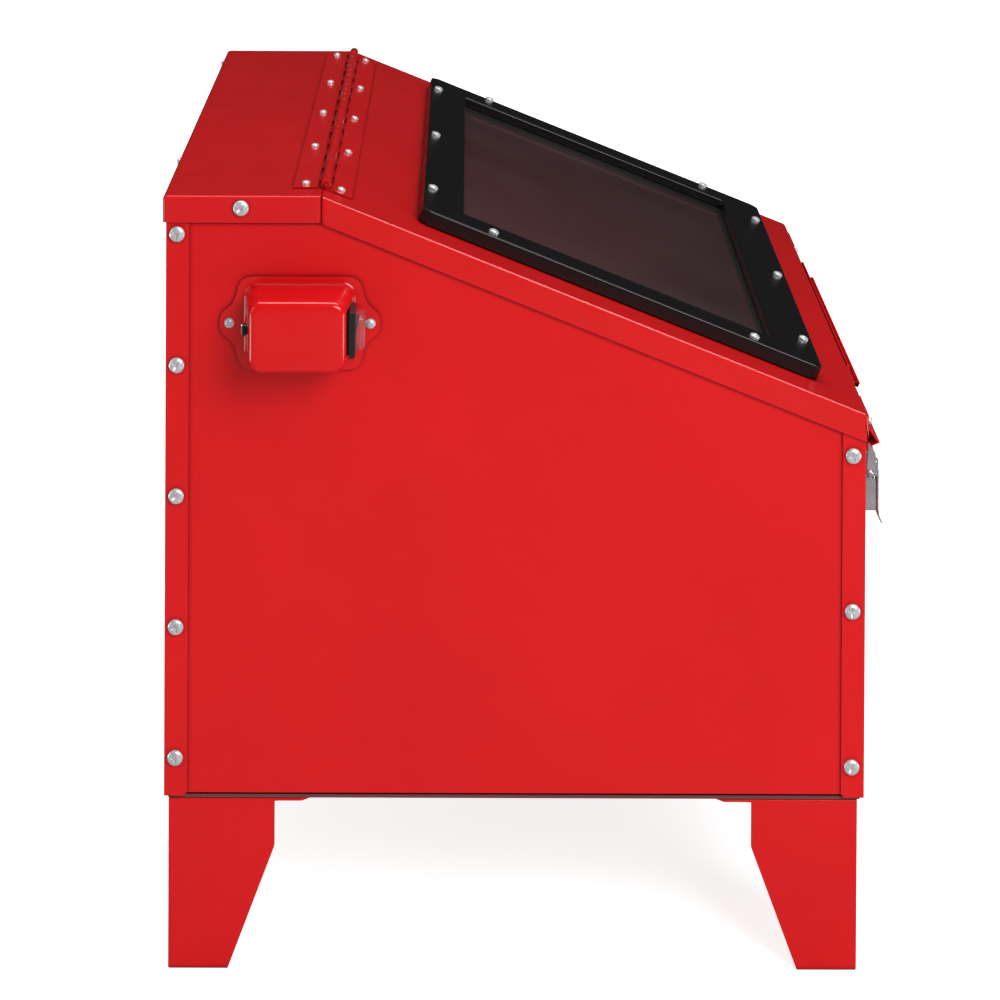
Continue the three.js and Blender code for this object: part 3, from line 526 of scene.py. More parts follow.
def subtract(shape, cutter):
    """Boolean difference of two bmeshes, through Blender's own modifier."""
    made = []
    for name, source in (("cut_body", shape), ("cut_tool", cutter)):
        mesh = bpy.data.meshes.new(name)
        bmesh.ops.recalc_face_normals(source, faces=source.faces)
        source.to_mesh(mesh)
        source.free()
        made.append(in_scene(name, mesh))
    body, tool = made
    modifier = body.modifiers.new("cut", "BOOLEAN")
    modifier.object = tool
    modifier.solver = "EXACT"
    modifier.use_self = True
    bake(body)
    cut = bmesh.new()
    cut.from_mesh(body.data)
    for thing in made:
        mesh = thing.data
        bpy.data.objects.remove(thing)
        bpy.data.meshes.remove(mesh)
    return cut


def bake(made):
    """Turns the modifiers of an object into its mesh."""
    bpy.context.view_layer.update()
    evaluated = made.evaluated_get(bpy.context.evaluated_depsgraph_get())
    mesh = bpy.data.meshes.new_from_object(evaluated)
    made.modifiers.clear()
    before = made.data
    made.data = mesh
    bpy.data.meshes.remove(before)
    mesh.name = made.name


def dome(radius, foot, height):
    """Outline points of a domed head from its rim up, where foot is the straight part's height."""
    return [(radius * cos(a), foot + (height - foot) * sin(a))
            for a in (radians(d) for d in range(0, 90, 10))]


def pan_head(radius, height, washer=0.0):
    """Pan-head screw facing +Z with a crossed recess, in metres from millimetres."""
    crown = dome(radius, height * 0.42, height)
    rim = [(radius * 0.985, -0.2), (radius, 0.0), crown[0]]
    if washer:
        rim = [(washer, -0.2), (washer, 0.5), (radius, 0.6)]
    shape = lathed([(0, -0.2), *rim, *crown[1:], (0, height)], (0, 0, 0), 40, (0, 0, 1))
    return cross_recess(shape, radius * MM, height * 0.62 * MM, height * MM)


def screw(name, *sizes):
    return skin(f"{name}_screw_mesh", pan_head(*sizes), SCREW_ZINC, 38)


BODY_SCREW = screw("body", 5.3, 3.2)
FRAME_SCREW = screw("frame", 3.6, 2.6)
HINGE_SCREW = screw("hinge", 2.9, 2.4)
BOX_SCREW = screw("box", 2.6, 2.0, 3.4)
KEEPER_SCREW = screw("keeper", 2.5, 3.6)
RIVET_HEAD = [(0, -0.2), (2.2, -0.2), *dome(2.2, 0, 1.2), (0, 1.2)]
RIVET = skin("rivet_mesh", lathed(RIVET_HEAD, (0, 0, 0), 36, (0, 0, 1)), ZINC, 38)


def fasten(name, mesh, at, facing, index=0, body="cabinet"):
    """Puts a fastener's head at a point, facing along a normal.

    The index gives each screw's recess a different but repeatable turn."""
    made = in_scene(name, mesh)
    spin = Matrix.Rotation(radians((index * 67.0) % 90.0), 4, "Z")
    aim = Vector(facing).to_track_quat("Z", "Y").to_matrix().to_4x4()
    made.matrix_world = Matrix.Translation(Vector(at)) @ aim @ spin
    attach(made, body)


# ---- places taken from the frame ----
FRONT_LOW, FRONT_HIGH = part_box("front_panel")
TOP_LOW, TOP_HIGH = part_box("top_panel")
REAR_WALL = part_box("rear_panel")[1].y
MIDDLE = (FRONT_LOW.x + FRONT_HIGH.x) / 2
RIDGE = Vector((MIDDLE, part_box("lid_panel")[1].y + 0.25 * MM, TOP_HIGH.z))


def lid_normal():
    """Out of the lid's slope: the normal of its largest upward face, level across."""
    faces = frame["nodes"]["lid_panel"].data.polygons
    upward = [f for f in faces if f.normal.z > 0.5 and f.normal.y < -0.1]
    return Vector((0, *max(upward, key=lambda f: f.area).normal.yz)).normalized()


SLOPE_NORMAL = lid_normal()
DOWN_SLOPE = Vector((0, -SLOPE_NORMAL.z, SLOPE_NORMAL.y))


def on_slope(x, s, h):
    """A point on the lid, in metres from millimetres: across, down the slope and above it."""
    return RIDGE + mm(x, 0, 0) + DOWN_SLOPE * (s * MM) + SLOPE_NORMAL * (h * MM)


# ---- body ----
def body_panels():
    for wall, fold in (("left_side", 1.8), ("right_side", 1.8), ("front", 2.0), ("rear", 2.0)):
        refine(f"{wall}_panel", RED, fold)
    # The bottom panel's darker red is painted shade.
    refine("bottom_panel", BOTTOM_SHADE_RED, fold=0.8)
    refine("top_panel", LID_RED, fold=3.0, hem=0.8)
    for node in LEGS:
        refine(node, RED, fold=2.6, rim=0.35, sheet=2.0)


def body_screws():
    """Pan heads down the corner wraps and on the top panel's side flanges; small ones behind it."""
    column = {"rear": (REAR_WALL - 7.7 * MM, 147, 508, 5),  # y, lowest and highest z, count
              "front": (FRONT_LOW.y + 8.8 * MM, 142, 357, 3)}
    for side, wall, flange_wall, way in (("left", FRONT_LOW.x, TOP_LOW.x, -1),
                                         ("right", FRONT_HIGH.x, TOP_HIGH.x, 1)):
        for corner, (y, low, high, count) in column.items():
            for i in range(count):
                z = (low + (high - low) * i / (count - 1)) * MM
                fasten(f"screw_{corner}_{side}_{i + 1}", BODY_SCREW, (wall, y, z), (way, 0, 0),
                       i * 3 + len(side + corner))
        at = (flange_wall, TOP_HIGH.y - 53.8 * MM, TOP_HIGH.z - 8.4 * MM)
        fasten(f"screw_top_{side}", BODY_SCREW, at, (way, 0, 0), 2)
    for i, x in enumerate((-160, 258)):
        at = (MIDDLE + x * MM, TOP_HIGH.y, TOP_HIGH.z - 4.5 * MM)
        fasten(f"screw_top_rear_{i + 1}", HINGE_SCREW, at, (0, 1, 0), i)


def leg_bolts():
    """Two pan heads through each leg's mounting plate."""
    for node in LEGS:
        low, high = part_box(node)
        x, way_x = (low.x, 1) if "left" in node else (high.x, -1)
        y, way_y = (low.y, 1) if "front" in node else (high.y, -1)
        for i, (dx, dy) in enumerate(((84, 16), (16, 84))):
            at = (x + way_x * dx * MM, y + way_y * dy * MM, high.z - 2 * MM)
            fasten(f"bolt_{node}_{i + 1}", BODY_SCREW, at, (0, 0, -1), i)


# ---- lid ----
def lid_pieces():
    refine("lid_panel", LID_RED, fold=3.0, hem=0.8)
    refine("window_frame", BLACK_ENAMEL, fold=1.4, rim=0.5, wide=6.0, sheet=0.6)
    refine("window_pane", PANE_CLEAR, fold=0.3, rim=0.2)
    refine("lid_seal", SEAL_FOAM, fold=0.6, rim=0.4)
    refine("lid_handle_strip", RED, fold=0.8, rim=0.35)
    for side in SIDES:
        refine(f"latch_keeper_{side}", RED, fold=0.9, rim=0.35)


def frame_screws():
    """Ten pan heads round the window frame: three along the top and bottom, two down each side."""
    corners = [(v.co - RIDGE) / MM for v in frame["nodes"]["window_frame"].data.vertices]
    along = [p.dot(DOWN_SLOPE) for p in corners]
    start, end = min(along), max(along)
    top = max(p.dot(SLOPE_NORMAL) for p in corners)
    half = (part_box("window_frame")[1].x - MIDDLE) / MM
    places = [(x, start + 6.4) for x in (-185, 12, 209)] + [(x, end - 8) for x in (-194, 0, 194)]
    places += [(x, start + s) for x in (9.5 - half, half - 4.5) for s in (53, 250)]
    for i, (x, s) in enumerate(places):
        fasten(f"frame_screw_{i + 1}", FRAME_SCREW, on_slope(x, s, top), SLOPE_NORMAL, i * 5 + 1, "lid")


def front_strip_screws():
    """Screws that hold the keepers and the handle strip to the lid's front wall."""
    for side in SIDES:
        low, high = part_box(f"latch_keeper_{side}")
        at = (low.x + 8 * MM, high.y - 1.2 * MM, high.z - 6 * MM)
        fasten(f"keeper_screw_{side}", KEEPER_SCREW, at, (0, -1, 0), 3, "lid")
    low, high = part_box("lid_handle_strip")
    for i, x in enumerate((-146, -49, 49, 146)):
        at = (MIDDLE + x * MM, high.y - 1.2 * MM, high.z - 5.5 * MM)
        fasten(f"strip_rivet_{i + 1}", RIVET, at, (0, -1, 0), body="lid")


# ---- piano hinge ----
KNUCKLES = 25
KNUCKLE_RADIUS = 3.4
KNUCKLE_GAP = 0.3  # left free at each end of a knuckle
LEAF_RISE, LEAF_TOP = 0.2, 1.3  # heights of a leaf's two faces over the sheet
LEAF_SCREWS = (-262, -131, 0, 131, 262)
LEAF_SCREW_LINE = 12.4


def barrel(start, length, radius, hole, edge, segments):
    """A rolled knuckle, or the pin where the hole is nil, with a small chamfer at each end."""
    profile = [(hole, 0), (radius - edge, 0), (radius, edge), (radius, length - edge),
               (radius - edge, length), (hole, length)]
    axis = centre_of("hinge_pin")
    return lathed(profile, (start, axis.y, axis.z), segments, (1, 0, 0))


def hinge_leaf(node, first, along, normal):
    """A leaf plate notched for the other leaf's knuckles, with its own knuckles rolled on.

    along points away from the axis over the surface the leaf lies on, and normal out of it."""
    low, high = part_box(node)
    pitch = (high.x - low.x) / KNUCKLES
    base = (centre_of("hinge_pin") - RIDGE).dot(along)
    notch = base + 5.6 * MM
    width = max((v.co - RIDGE).dot(along) for v in frame["nodes"][node].data.vertices)

    def plate(x0, x1, near, far):
        outline = [Vector((x, RIDGE.y, RIDGE.z)) + along * reach
                   for x, reach in ((x0, near), (x1, near), (x1, far), (x0, far))]
        return prism(outline, normal * LEAF_RISE * MM, normal * LEAF_TOP * MM)

    shape = bmesh.new()
    for i in range(first, KNUCKLES, 2):
        x0 = low.x + i * pitch
        add_to(shape, plate(x0, x0 + pitch, base + 1 * MM, notch + 0.1 * MM))
        add_to(shape, barrel(x0 + KNUCKLE_GAP * MM, pitch / MM - 2 * KNUCKLE_GAP, KNUCKLE_RADIUS,
                             1.5, 0.25, 28))
    add_to(shape, soften(plate(low.x, high.x, notch, width), 0.3, 2))
    piece(f"{node}_rolled", shape, LID_RED, node)


def piano_hinge():
    hinge_leaf("hinge_leaf_fixed", 1, Vector((0, 1, 0)), Vector((0, 0, 1)))
    hinge_leaf("hinge_leaf_lid", 0, DOWN_SLOPE, SLOPE_NORMAL)
    low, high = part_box("hinge_pin")
    pin = barrel(low.x, (high.x - low.x) / MM, (high.z - low.z) / 2 / MM, 0, 0.3, 24)
    piece("hinge_pin_round", pin, LID_RED, "hinge_pin")
    for i, x in enumerate(LEAF_SCREWS):
        at = (MIDDLE + x * MM, RIDGE.y + LEAF_SCREW_LINE * MM, TOP_HIGH.z + LEAF_TOP * MM)
        fasten(f"hinge_screw_top_{i + 1}", HINGE_SCREW, at, (0, 0, 1), i * 7)
        fasten(f"hinge_screw_lid_{i + 1}", HINGE_SCREW, on_slope(x, LEAF_SCREW_LINE, LEAF_TOP),
               SLOPE_NORMAL, i * 7 + 4, "lid")


# ---- latches ----
def latches():
    for side in SIDES:
        lever = f"latch_lever_{side}"
        refine(f"latch_base_{side}", ZINC, fold=0.5, rim=0.2, wide=3.0)
        refine(lever, ZINC, fold=0.5, rim=0.25, wide=3.0)
        refine(f"latch_hook_{side}", ZINC, fold=0.4, rim=0.2, wide=3.0)
        for joint, reach in ((lever, 8.2), (f"latch_hook_{side}", 10.6)):
            for way, end in ((-1, "out"), (1, "in")):
                at = JOINTS[joint] + mm(way * reach, 0, 0)
                fasten(f"{joint}_rivet_{end}", RIVET, at, (way, 0, 0), body=lever)


# ---- switch box ----
BOX_LOW, BOX_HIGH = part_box("switch_box_cover")
BOX_CENTRE = Vector((BOX_HIGH.x, (BOX_LOW.y + BOX_HIGH.y) / 2, (BOX_LOW.z + BOX_HIGH.z) / 2))


def at_box(u, v, out):
    """A point on the switch box: u towards the operator, v up, out from the side panel."""
    return BOX_CENTRE + mm(-out, -u, v)


def rounded_ring(half_u, half_v, radius, per_corner=10):
    """Points of a rounded rectangle, corner by corner."""
    radius = min(radius, half_u, half_v)
    points = []
    for quarter, (su, sv) in enumerate(((1, 1), (-1, 1), (-1, -1), (1, -1))):
        for i in range(per_corner + 1):
            a = pi / 2 * (quarter + i / per_corner)
            points.append((su * (half_u - radius) + radius * cos(a),
                           sv * (half_v - radius) + radius * sin(a)))
    return points


def cover_levels():
    """(height, half width, half height, corner radius) from the flange up to the crown."""
    foot_radius, crown_radius, corner = 3.5, 7.0, 8
    flange_top, top = 1.4, 42.0
    base, face = (36.6, 26.0), (33.4, 24.8)
    levels = []
    for i in range(7):  # the fillet out of the flange
        a = pi / 2 * i / 6
        flare = foot_radius * (1 - sin(a))
        levels.append((flange_top + foot_radius * (1 - cos(a)), base[0] + flare,
                       base[1] + flare, corner + flare))
    foot, straight = levels[-1][0], top - crown_radius
    for t in (i / 6 for i in range(1, 6)):  # the drafted wall
        levels.append((foot + (straight - foot) * t, base[0] + (face[0] - base[0]) * t,
                       base[1] + (face[1] - base[1]) * t, corner + t))
    for i in range(9):  # the rolled crown
        a = pi / 2 * i / 8
        pull = crown_radius * 0.62 * (1 - cos(a))
        levels.append((straight + crown_radius * 0.985 * sin(a), face[0] - pull,
                       face[1] - pull, corner + 1 - pull * 0.6))
    height, *sizes = levels[-1]
    for shrink, rise in ((0.75, 0.06), (0.4, 0.1)):  # the nearly flat face
        levels.append((height + rise, *(size * shrink for size in sizes)))
    return levels


def switch_cover():
    """Deep-drawn cover: flange with two ears, filleted foot, drafted walls and a rolled crown."""
    shape = bmesh.new()
    bridge(shape, [[shape.verts.new(at_box(u, v, height)) for u, v in rounded_ring(*size)]
                   for height, *size in cover_levels()])
    deep, tall, middle, past = 11.4, 12.7, 20.5, 60  # the bezel's window in the front wall
    outline = [at_box(u, v, middle) for u, v in ((0, -tall), (0, tall), (past, tall), (past, -tall))]
    shape = subtract(shape, prism(outline, mm(deep, 0, 0), mm(-deep, 0, 0)))
    add_to(shape, flange())
    piece("switch_cover_drawn", shape, GLOSS_RED, "switch_box_cover", smooth=50)


def flange():
    """The cover's flange: a rounded plate that sweeps out into a screw ear at each end."""
    quarter = [(0, 32), (18, 32), (33, 32), (39.4, 30), (42.4, 25.5), (43.8, 19.5), (46.6, 13.4),
               (50.4, 9.8), (53.8, 6.4), (55.2, 1.5)]
    half = quarter + [(u, -v) for u, v in reversed(quarter)]
    control = [Vector((*p, 0)) for p in half[:-1] + [(-u, v) for u, v in reversed(half)][:-1]]
    count = len(control)
    ring = [curve_point(*(control[(i + k) % count] for k in (-1, 0, 1, 2)), t)
            for i in range(count) for t in (0.0, 0.25, 0.5, 0.75)]
    plate = prism([at_box(p.x, p.y, 0) for p in ring], (0, 0, 0), mm(-1.6, 0, 0))
    return soften(plate, 0.9, 4, 60.0)


def boot():
    """Clear splash boot: a soft box with a rolled foot."""
    low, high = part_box("switch_boot")
    half = (high - low) / 2
    centre = on_wall("switch_boot", high.y)
    levels = [(0.0, 1.0), (0.08, 1.0), (0.16, 0.93), (0.5, 0.9), (0.8, 0.88), (0.93, 0.83), (1.0, 0.7)]
    shape = bmesh.new()
    bridge(shape, [[shape.verts.new(centre + Vector((u, -2 * half.y * depth, v)))
                    for u, v in rounded_ring(half.x * size, half.z * size, 3.5 * MM)]
                   for depth, size in levels], start=False)
    thicken(piece("switch_boot_soft", shape, BOOT_CLEAR, "switch_boot", smooth=60), 0.7)


def thicken(made, wall):
    """Gives an open skin a wall inwards, in millimetres."""
    modifier = made.modifiers.new("wall", "SOLIDIFY")
    modifier.thickness = wall * MM
    modifier.offset = -1


def jack():
    """Round power jack: bright rim, black barrel and a centre pin."""
    at = on_wall("power_jack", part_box("power_jack")[1].y - 3 * MM)
    body = [(2.2, -8), (3.4, -8), (3.4, 0), (4.4, 0), (4.4, 1.8), (3.9, 2.6), (2.8, 2.8), (2.2, 2.3)]
    rim = [(2.8, 2.4), (3.9, 2.4), (3.9, 3.0), (3.4, 3.3), (2.8, 3.0)]
    pin = [(0, -7), (0.8, -7), (0.8, 0.6), (0.5, 1.0), (0, 1.0)]
    piece("power_jack_body", lathed(body, at, 48), BLACK_PLASTIC, "power_jack")
    piece("power_jack_rim", lathed(rim, at, 48), ZINC)
    piece("power_jack_pin", lathed(pin, at, 24), ZINC)


def switch_box():
    switch_cover()
    refine("switch_bezel", BLACK_PLASTIC, fold=0.8, rim=0.4, wide=2.2)
    cap = refined("switch_rocker", fold=1.0, rim=0.5, wide=2.5)
    piece("switch_rocker_cap", cap, BLACK_PLASTIC, "switch_rocker")
    boot()
    jack()
    for name, u, index in (("front", 48.5, 2), ("rear", -48.5, 5)):
        fasten(f"box_screw_{name}", BOX_SCREW, at_box(u, 0, 1.5), (-1, 0, 0), index)


# ---- glove ports and gloves ----
def port_hardware(side):
    """Moulded trim ring and the worm-drive band that clamps the glove's cuff."""
    low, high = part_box(f"port_ring_{side}")
    centre = on_wall(f"port_ring_{side}", FRONT_LOW.y)
    outer = (high.x - low.x) / 2 / MM
    bore, sleeve = outer - 14, outer - 10.3
    ring = [(bore, -4.5), (outer - 12.6, -6.6), (outer - 10.5, -7), (outer - 4, -6.1),
            (outer - 1.2, -4.2), (outer, -2.2), (outer, -0.3), (sleeve, -0.3),
            (sleeve, 29.4), (outer - 11, 30), (outer - 13.6, 30), (bore, 29.4)]
    piece(f"port_ring_{side}_moulded", lathed(ring, centre, 96), BLACK_PLASTIC,
          f"port_ring_{side}")
    low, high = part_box(f"glove_clamp_{side}")
    band = (high.x - low.x) / 2 / MM
    start, end = (low.y - FRONT_LOW.y) / MM, (high.y - FRONT_LOW.y) / MM
    strap = [(band - 1.6, start), (band - 0.9, start), (band - 0.5, start + 0.6),
             (band - 0.5, end - 0.6), (band - 0.9, end), (band - 1.6, end)]
    shape = lathed(strap, centre, 96)
    housing = prism([centre + mm(x, start + 1, z) for x, z in (
        (-7, band - 1), (7, band - 1), (6, band + 4), (-6, band + 4))], (0, 0, 0), mm(0, 10, 0))
    add_to(shape, soften(housing, 0.8, 3))
    piece(f"glove_clamp_{side}_band", shape, ZINC, f"glove_clamp_{side}")


CUFF, MOUTH, WRIST = 78.6, 77.5, 36.0  # radii of the glove's cuff, of the sleeve behind it, and wrist
CUFF_END, PALM_FROM, PALM_TO = 0.06, 0.60, 0.80  # shares of the glove's length
DROOP = 10.5  # how far the palm's end hangs below the port's centre


def sleeve_radius(share, angle, phase):
    """Radius of the gauntlet's sleeve: a taper from mouth to wrist with soft ring folds."""
    taper = MOUTH + (WRIST - MOUTH) * (1 - (1 - share) ** 1.6)
    folds = 2.4 * sin(share * 46 + 1.3 * sin(angle * 2 + phase)) * sin(pi * share)
    drape = 1.8 * sin(angle * 3 + share * 9 + phase) * share * (1 - share) * 4
    return taper + folds + drape


def glove_section(share, angle, phase):
    """Half width and half height of the glove at a share of its length."""
    if share < CUFF_END:
        return CUFF, CUFF
    if share < PALM_FROM:
        radius = sleeve_radius(share / PALM_FROM, angle, phase)
        return radius, radius
    t = (share - PALM_FROM) / (PALM_TO - PALM_FROM)
    ease = t * t * (3 - 2 * t)
    return WRIST + 12.0 * ease, WRIST - 17.0 * ease


def glove_sleeve(centre, length, phase):
    """The gauntlet from the cuff to the knuckles as one skin, closed at both ends."""
    around, rows = 96, 84
    shape = bmesh.new()
    rings = []
    for share in (i / rows * PALM_TO for i in range(rows + 1)):
        sag = 16.0 * max(0.0, share - 0.1) ** 1.5
        ring = []
        for a in (2 * pi * j / around for j in range(around)):
            half_u, half_v = glove_section(share, a, phase)
            point = mm(half_u * cos(a), share * length, half_v * sin(a) - sag)
            ring.append(shape.verts.new(centre + point))
        rings.append(ring)
    bridge(shape, rings, start=False, end=False)
    tip = shape.verts.new(centre + mm(0, (PALM_TO + 0.02) * length, -DROOP))
    mouth = shape.verts.new(centre)
    for j in range(around):
        k = (j + 1) % around
        shape.faces.new((rings[-1][j], rings[-1][k], tip))
        shape.faces.new((rings[0][k], rings[0][j], mouth))
    return shape


def finger(base, direction, length, radius, curl):
    """One padded finger that curls downwards towards its rounded tip."""
    links = 5
    aim = Vector(direction).normalized()
    points = [Vector(base)]
    for _ in range(links):
        points.append(points[-1] + aim * (length / links))
        aim = (aim + Vector((0, 0, -curl))).normalized()

    def thickness(t):
        knuckle = 0.05 * cos(t * 4 * pi)
        tip = sqrt(max(0.0, 1 - ((t - 0.86) / 0.14) ** 2)) if t > 0.86 else 1.0
        return radius * MM * (1.03 - 0.14 * t + knuckle) * max(tip, 0.12)

    return swept([p * MM for p in points], thickness, 24, 9)


def glove(side, sign):
    """A rubber gauntlet: sleeve, four curled fingers and a thumb, fused into one hollow skin."""
    low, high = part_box(f"glove_{side}")
    centre = on_wall(f"glove_{side}", low.y)
    length = (high.y - low.y) / MM
    shape = glove_sleeve(centre, length, sign)
    root = centre / MM
    fingers = ((-32, 50, 10.5), (-11, 56, 11.2), (11, 53, 11.0), (31, 42, 9.8))
    for i, (across, reach, radius) in enumerate(fingers):
        across *= -sign
        start = root + Vector((across, length * 0.775, -DROOP))
        add_to(shape, finger(start, (across * 0.004, 1, -0.05), reach, radius, 0.10 + 0.02 * i))
    thumb = root + Vector((sign * -32, length * 0.63, -12))
    add_to(shape, finger(thumb, (-sign * 0.55, 0.8, -0.22), 58, 12.0, 0.07))
    made = piece(f"glove_{side}_rubber", shape, GLOVE_RUBBER, f"glove_{side}", smooth=180)
    fuse(made, 2.2)
    hollow(made, 2.6, 1.5)


def fuse(made, voxel):
    """Remeshes overlapping shells into one skin of voxel-sized cells and softens the creases."""
    remesh = made.modifiers.new("fuse", "REMESH")
    remesh.mode = "VOXEL"
    remesh.voxel_size = voxel * MM
    remesh.use_smooth_shade = True
    relax = made.modifiers.new("relax", "SMOOTH")
    relax.factor = 0.5
    relax.iterations = 5
    bake(made)


def hollow(made, lip, wall):
    """Opens the fused skin at the cuff and gives the rubber its wall."""
    shape = bmesh.new()
    shape.from_mesh(made.data)
    mouth = min(v.co.y for v in shape.verts) + lip * MM
    cap = [f for f in shape.faces if f.calc_center_median().y < mouth]
    bmesh.ops.delete(shape, geom=cap, context="FACES")
    shape.to_mesh(made.data)
    shape.free()
    thicken(made, wall)
    bake(made)


def gloves():
    for side, sign in (("left", -1), ("right", 1)):
        port_hardware(side)
        glove(side, sign)


# ---- inside: grate, lamp, vent, air ----
def work_area():
    refine("work_grate", GALVANISED, fold=0.4, rim=0.3)
    for side in SIDES:
        refine(f"grate_rail_{side}", GALVANISED, fold=1.6, rim=0.3, sheet=2.0)
    refine("vent_baffle", GALVANISED, fold=1.4, rim=0.3, sheet=1.5)


def lamp():
    refine("lamp_housing", OPAL, fold=1.2, rim=0.3, sheet=2.0)
    low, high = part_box("lamp_tube")
    axis = centre_of("lamp_tube")
    length = (high.x - low.x) / MM
    tube = [(0, 8), (6.2, 8), (7, 9), (7, length - 9), (6.2, length - 8), (0, length - 8)]
    piece("lamp_tube_glass", lathed(tube, (low.x, axis.y, axis.z), 48, (1, 0, 0)), OPAL, "lamp_tube")
    cap = [(0, 0), (6.8, 0), (7.8, 0.8), (7.8, 8.4), (7.2, 9.0), (0, 9.0)]
    for name, x, way in (("left", low.x, 1), ("right", high.x, -1)):
        piece(f"lamp_cap_{name}", lathed(cap, (x, axis.y, axis.z), 48, (way, 0, 0)), SCREW_ZINC)


def vent():
    """Exhaust spigot: inner stub, flange with four screws, tube with a hose bead."""
    centre = on_wall("vent_spigot", REAR_WALL)
    flange_top, screw_circle = 2.4, 35.8
    spigot = [(29, -33.4), (29.6, -34), (30.4, -34), (31, -33.4), (31, -1.8), (30.7, -1.5), (30.7, 0.3),
              (40, 0.3), (40, 1.8), (39.4, flange_top), (33, flange_top), (31.6, 3.4), (31, 5.0),
              (31, 24), (31.8, 25), (31.8, 27), (31, 28), (31, 29.4), (30.4, 30), (29.6, 30), (29, 29.4)]
    piece("vent_spigot_moulded", lathed(spigot, centre, 96), BLACK_PLASTIC, "vent_spigot")
    for i in range(4):
        a = pi / 4 + i * pi / 2
        at = centre + mm(cos(a) * screw_circle, flange_top, sin(a) * screw_circle)
        fasten(f"vent_screw_{i + 1}", HINGE_SCREW, at, (0, 1, 0), i)


def hexagon(across, start, end, origin):
    """A hexagonal nut along Y with chamfered corners."""
    radius = across / 2 / cos(pi / 6)
    outline = [origin + mm(radius * cos(a), 0, radius * sin(a))
               for a in (pi / 6 + i * pi / 3 for i in range(6))]
    return soften(prism(outline, mm(0, start, 0), mm(0, end, 0)), 0.6, 2)


def air_inlet():
    """Bulkhead body, its two nuts and the quick-connect plug on the outside."""
    centre = on_wall("air_inlet_fitting", REAR_WALL)
    bore, crest, root, pitch, nut = 2.4, 6.8, 6.2, 2.9, 19.0
    body = [(bore, -24), (root, -24), (crest, -23.4)]
    for d in (-22.5 + i * pitch for i in range(12)):
        body += [(crest, d), (root, d + 0.8), (crest, d + 1.6)]
    body += [(6.4, 14), (4.6, 14.4), (4.6, 18), (3.8, 18.8), (3.8, 20.6), (4.6, 21.4), (5.6, 22.2),
             (5.6, 26.2), (4.9, 27), (bore, 27)]
    shape = lathed(body, centre, 64)
    for start, end in ((0.3, 6.0), (-6.5, -1.5)):
        add_to(shape, hexagon(nut, start, end, centre))
    piece("air_inlet_turned", shape, BRASS, "air_inlet_fitting", smooth=30)


def gun():
    """Suction blast gun: turned body, side barb, valve, lever and ceramic nozzle."""
    pivot = JOINTS["trigger_squeeze"]
    x, z = pivot.x, centre_of("gun_nozzle").z
    body_low, body_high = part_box("gun_body")
    rear = body_low.y
    length = (body_high.y - rear) / MM
    turned = [(0, 0), (3.4, 0), (4.0, 1.4), (3.5, 3), (4.0, 4.4), (3.5, 6), (4.0, 7.4), (3.6, 10.5),
              (7.5, 11), (7.5, 26), (9.0, 27), (11, 30), (11, 34), (10.4, 35), (10.4, 37), (11, 38),
              (11, length - 5), (10.2, length - 4), (10.2, length - 0.8), (9.6, length), (0, length)]
    shape = lathed(turned, (x, rear, z), 56)
    barb = [(0, 0), (6, 8), (6, 20), (4, 21), (4, 22), (3.5, 24), (4, 25.4), (3.5, 27.4), (4, 28.8),
            (3.4, 30), (0, 30)]
    add_to(shape, lathed(barb, (x, rear + 60 * MM, z), 40, (-1, 0, 0)))
    side = ((-5, 8), (5, 8), (5, 15), (2.5, 19), (-2.5, 19), (-5, 15))
    ear = prism([Vector((x, pivot.y + dy * MM, z + dz * MM)) for dy, dz in side],
                mm(-3, 0, 0), mm(3, 0, 0))
    add_to(shape, soften(ear, 0.8, 3))
    valve = [(0, 8), (3.4, 8), (3.4, 12.6), (3.0, 13), (0, 13)]
    add_to(shape, lathed(valve, (x, rear + 62 * MM, z), 32, (0, 0, 1)))
    piece("gun_body_cast", shape, GUN_ALLOY, "gun_body", smooth=30)
    refine("gun_trigger", BLACK_PLASTIC, fold=1.0, rim=0.4, wide=3.0)
    bore, tail = 3.2, 39.7
    tip = [(bore, 0), (11.2, 0), (11.4, 1), (11.0, 8), (10.0, 11.7), (7.4, 12.2), (7.2, 20), (6.0, 38.6),
           (5.2, tail), (bore, tail)]
    at = (x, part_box("gun_nozzle")[0].y, z)
    piece("gun_nozzle_fired", lathed(tip, at, 56), CERAMIC, "gun_nozzle")


def hoses():
    """Rubber air hose, milky suction hose and the bent pick-up tube under the grate."""
    refine("air_hose", HOSE_RUBBER, fold=0.5, rim=0.5, wide=50.0, curved=True)
    refine("suction_hose", HOSE_CLEAR, fold=0.5, rim=0.5, wide=50.0, curved=True)
    refine("pickup_tube", GALVANISED, fold=0.3, rim=0.3, wide=50.0, curved=True)


# ---- studio ----
def area_light(name, at, towards, width, height, power, mirrored=True, lit=True):
    """A soft box hidden from the camera; gloss mirrors it and matt paint is lit by it at will."""
    data = bpy.data.lights.new(name, "AREA")
    data.shape = "RECTANGLE"
    data.size, data.size_y, data.energy = width, height, power
    made = in_scene(name, data)
    made.location = at
    made.rotation_euler = (Vector(towards) - Vector(at)).to_track_quat("-Z", "Y").to_euler()
    made.visible_camera = False
    made.visible_glossy = mirrored
    made.visible_diffuse = lit


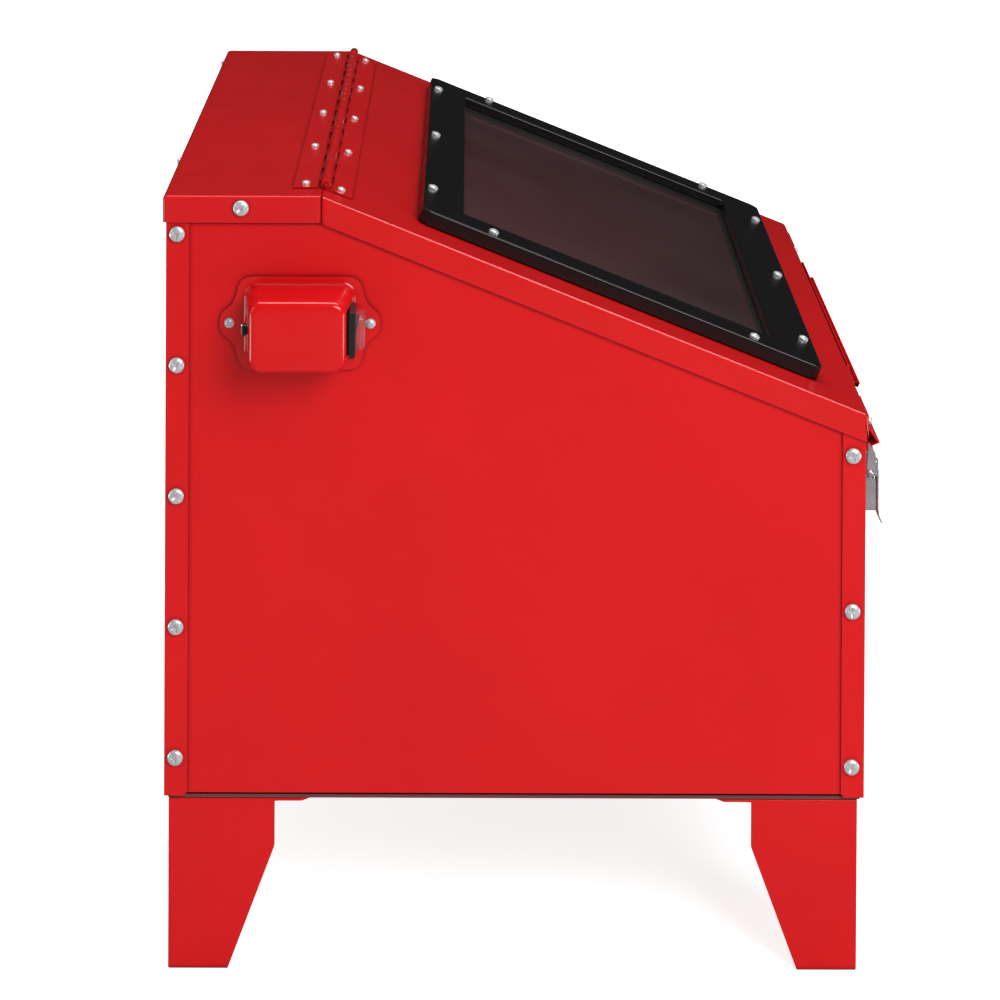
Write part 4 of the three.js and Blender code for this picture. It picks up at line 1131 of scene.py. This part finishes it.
def studio():
    """White sweep, dim surroundings that gloss hardly mirrors, and the soft boxes."""
    bpy.context.scene.view_settings.view_transform = "Standard"
    bpy.context.scene.world = bpy.data.worlds.new("studio")
    w = Nodes(bpy.context.scene.world, "Background")
    seen_in_gloss = w.add("LightPath").outputs["Is Glossy Ray"]
    w.finish(Color=(1.0,) * 4, Strength=w.remap(seen_in_gloss, 0.22, 0.02, 0.0, 1.0))
    floor = bmesh.new()
    bmesh.ops.create_grid(floor, x_segments=1, y_segments=1, size=40.0)
    mesh = bpy.data.meshes.new("floor")
    floor.to_mesh(mesh)
    floor.free()
    mesh.materials.append(studio_floor("floor_white"))
    in_scene("floor", mesh)
    area_light("key", (-2.6, -1.4, 2.1), (0, 0, 0.3), 2.0, 1.4, 75)
    area_light("side", (-1.3, -0.45, 1.15), (-0.28, 0, 0.45), 0.3, 1.2, 3.2, mirrored=False)
    area_light("top", (-0.1, 0, 2.7), (-0.1, 0, 0.4), 0.6, 2.4, 30)
    area_light("rear", (-1.2, 2.8, 1.4), (0, 0, 0.3), 1.6, 1.6, 9)
    area_light("right", (3.0, 0.6, 1.6), (0, 0, 0.3), 1.8, 1.4, 14, mirrored=False)
    for name, y in (("front_strip", -1.3), ("rear_strip", 1.3)):
        area_light(name, (-0.35, y, 0.16), (-0.3, 0, 0.4), 0.5, 0.3, 2.4, lit=False)
    glow = centre_of("lamp_tube") - Vector((0, 0.03, 0.03))
    area_light("lamp_glow", glow, glow - Vector((0, 0.1, 0.4)), 0.24, 0.03, 0.8)


# The view: level with the cabinet's lid and a little above, square on to its left side. The lens is
# long and shifted down, so upright edges stay upright.
VIEW_FROM = Vector((-2.4918, 0.0271, 1.0091))
VIEW_YAW, VIEW_DOWN, VIEW_ROLL = radians(-0.243), radians(0.763), radians(0.287)
VIEW_LENS = 116.6
VIEW_SHIFT = (0.0159, -0.9519)


def keep_shift(data, camera, path, amount):
    """Shifts the lens only while the camera stands at its own place."""
    driver = data.driver_add(path).driver
    driver.type = "SCRIPTED"
    terms = []
    for axis, place in zip("XYZ", VIEW_FROM):
        variable = driver.variables.new()
        variable.name = f"p{axis.lower()}"
        variable.type = "TRANSFORMS"
        variable.targets[0].id = camera
        variable.targets[0].transform_type = f"LOC_{axis}"
        terms.append(f"({variable.name} - ({place:.4f})) ** 2")
    driver.expression = f"({amount}) if {' + '.join(terms)} < 0.0001 else 0.0"


def camera():
    data = bpy.data.cameras.new("camera")
    data.lens = VIEW_LENS
    data.clip_end = 100.0
    made = in_scene("camera", data)
    level = Vector((cos(VIEW_YAW), sin(VIEW_YAW), 0))
    forward = level * cos(VIEW_DOWN) - Vector((0, 0, sin(VIEW_DOWN)))
    right = Vector((level.y, -level.x, 0))
    up = right.cross(forward)
    across = right * cos(VIEW_ROLL) + up * sin(VIEW_ROLL)
    upward = up * cos(VIEW_ROLL) - right * sin(VIEW_ROLL)
    turn = Matrix((across, upward, -forward)).transposed()
    made.matrix_world = Matrix.Translation(VIEW_FROM) @ turn.to_4x4()
    for path, amount in zip(("shift_x", "shift_y"), VIEW_SHIFT):
        keep_shift(data, made, path, amount)
    bpy.context.scene.camera = made


body_panels()
body_screws()
leg_bolts()
lid_pieces()
frame_screws()
front_strip_screws()
piano_hinge()
latches()
switch_box()
gloves()
work_area()
lamp()
vent()
air_inlet()
gun()
hoses()
studio()
camera()
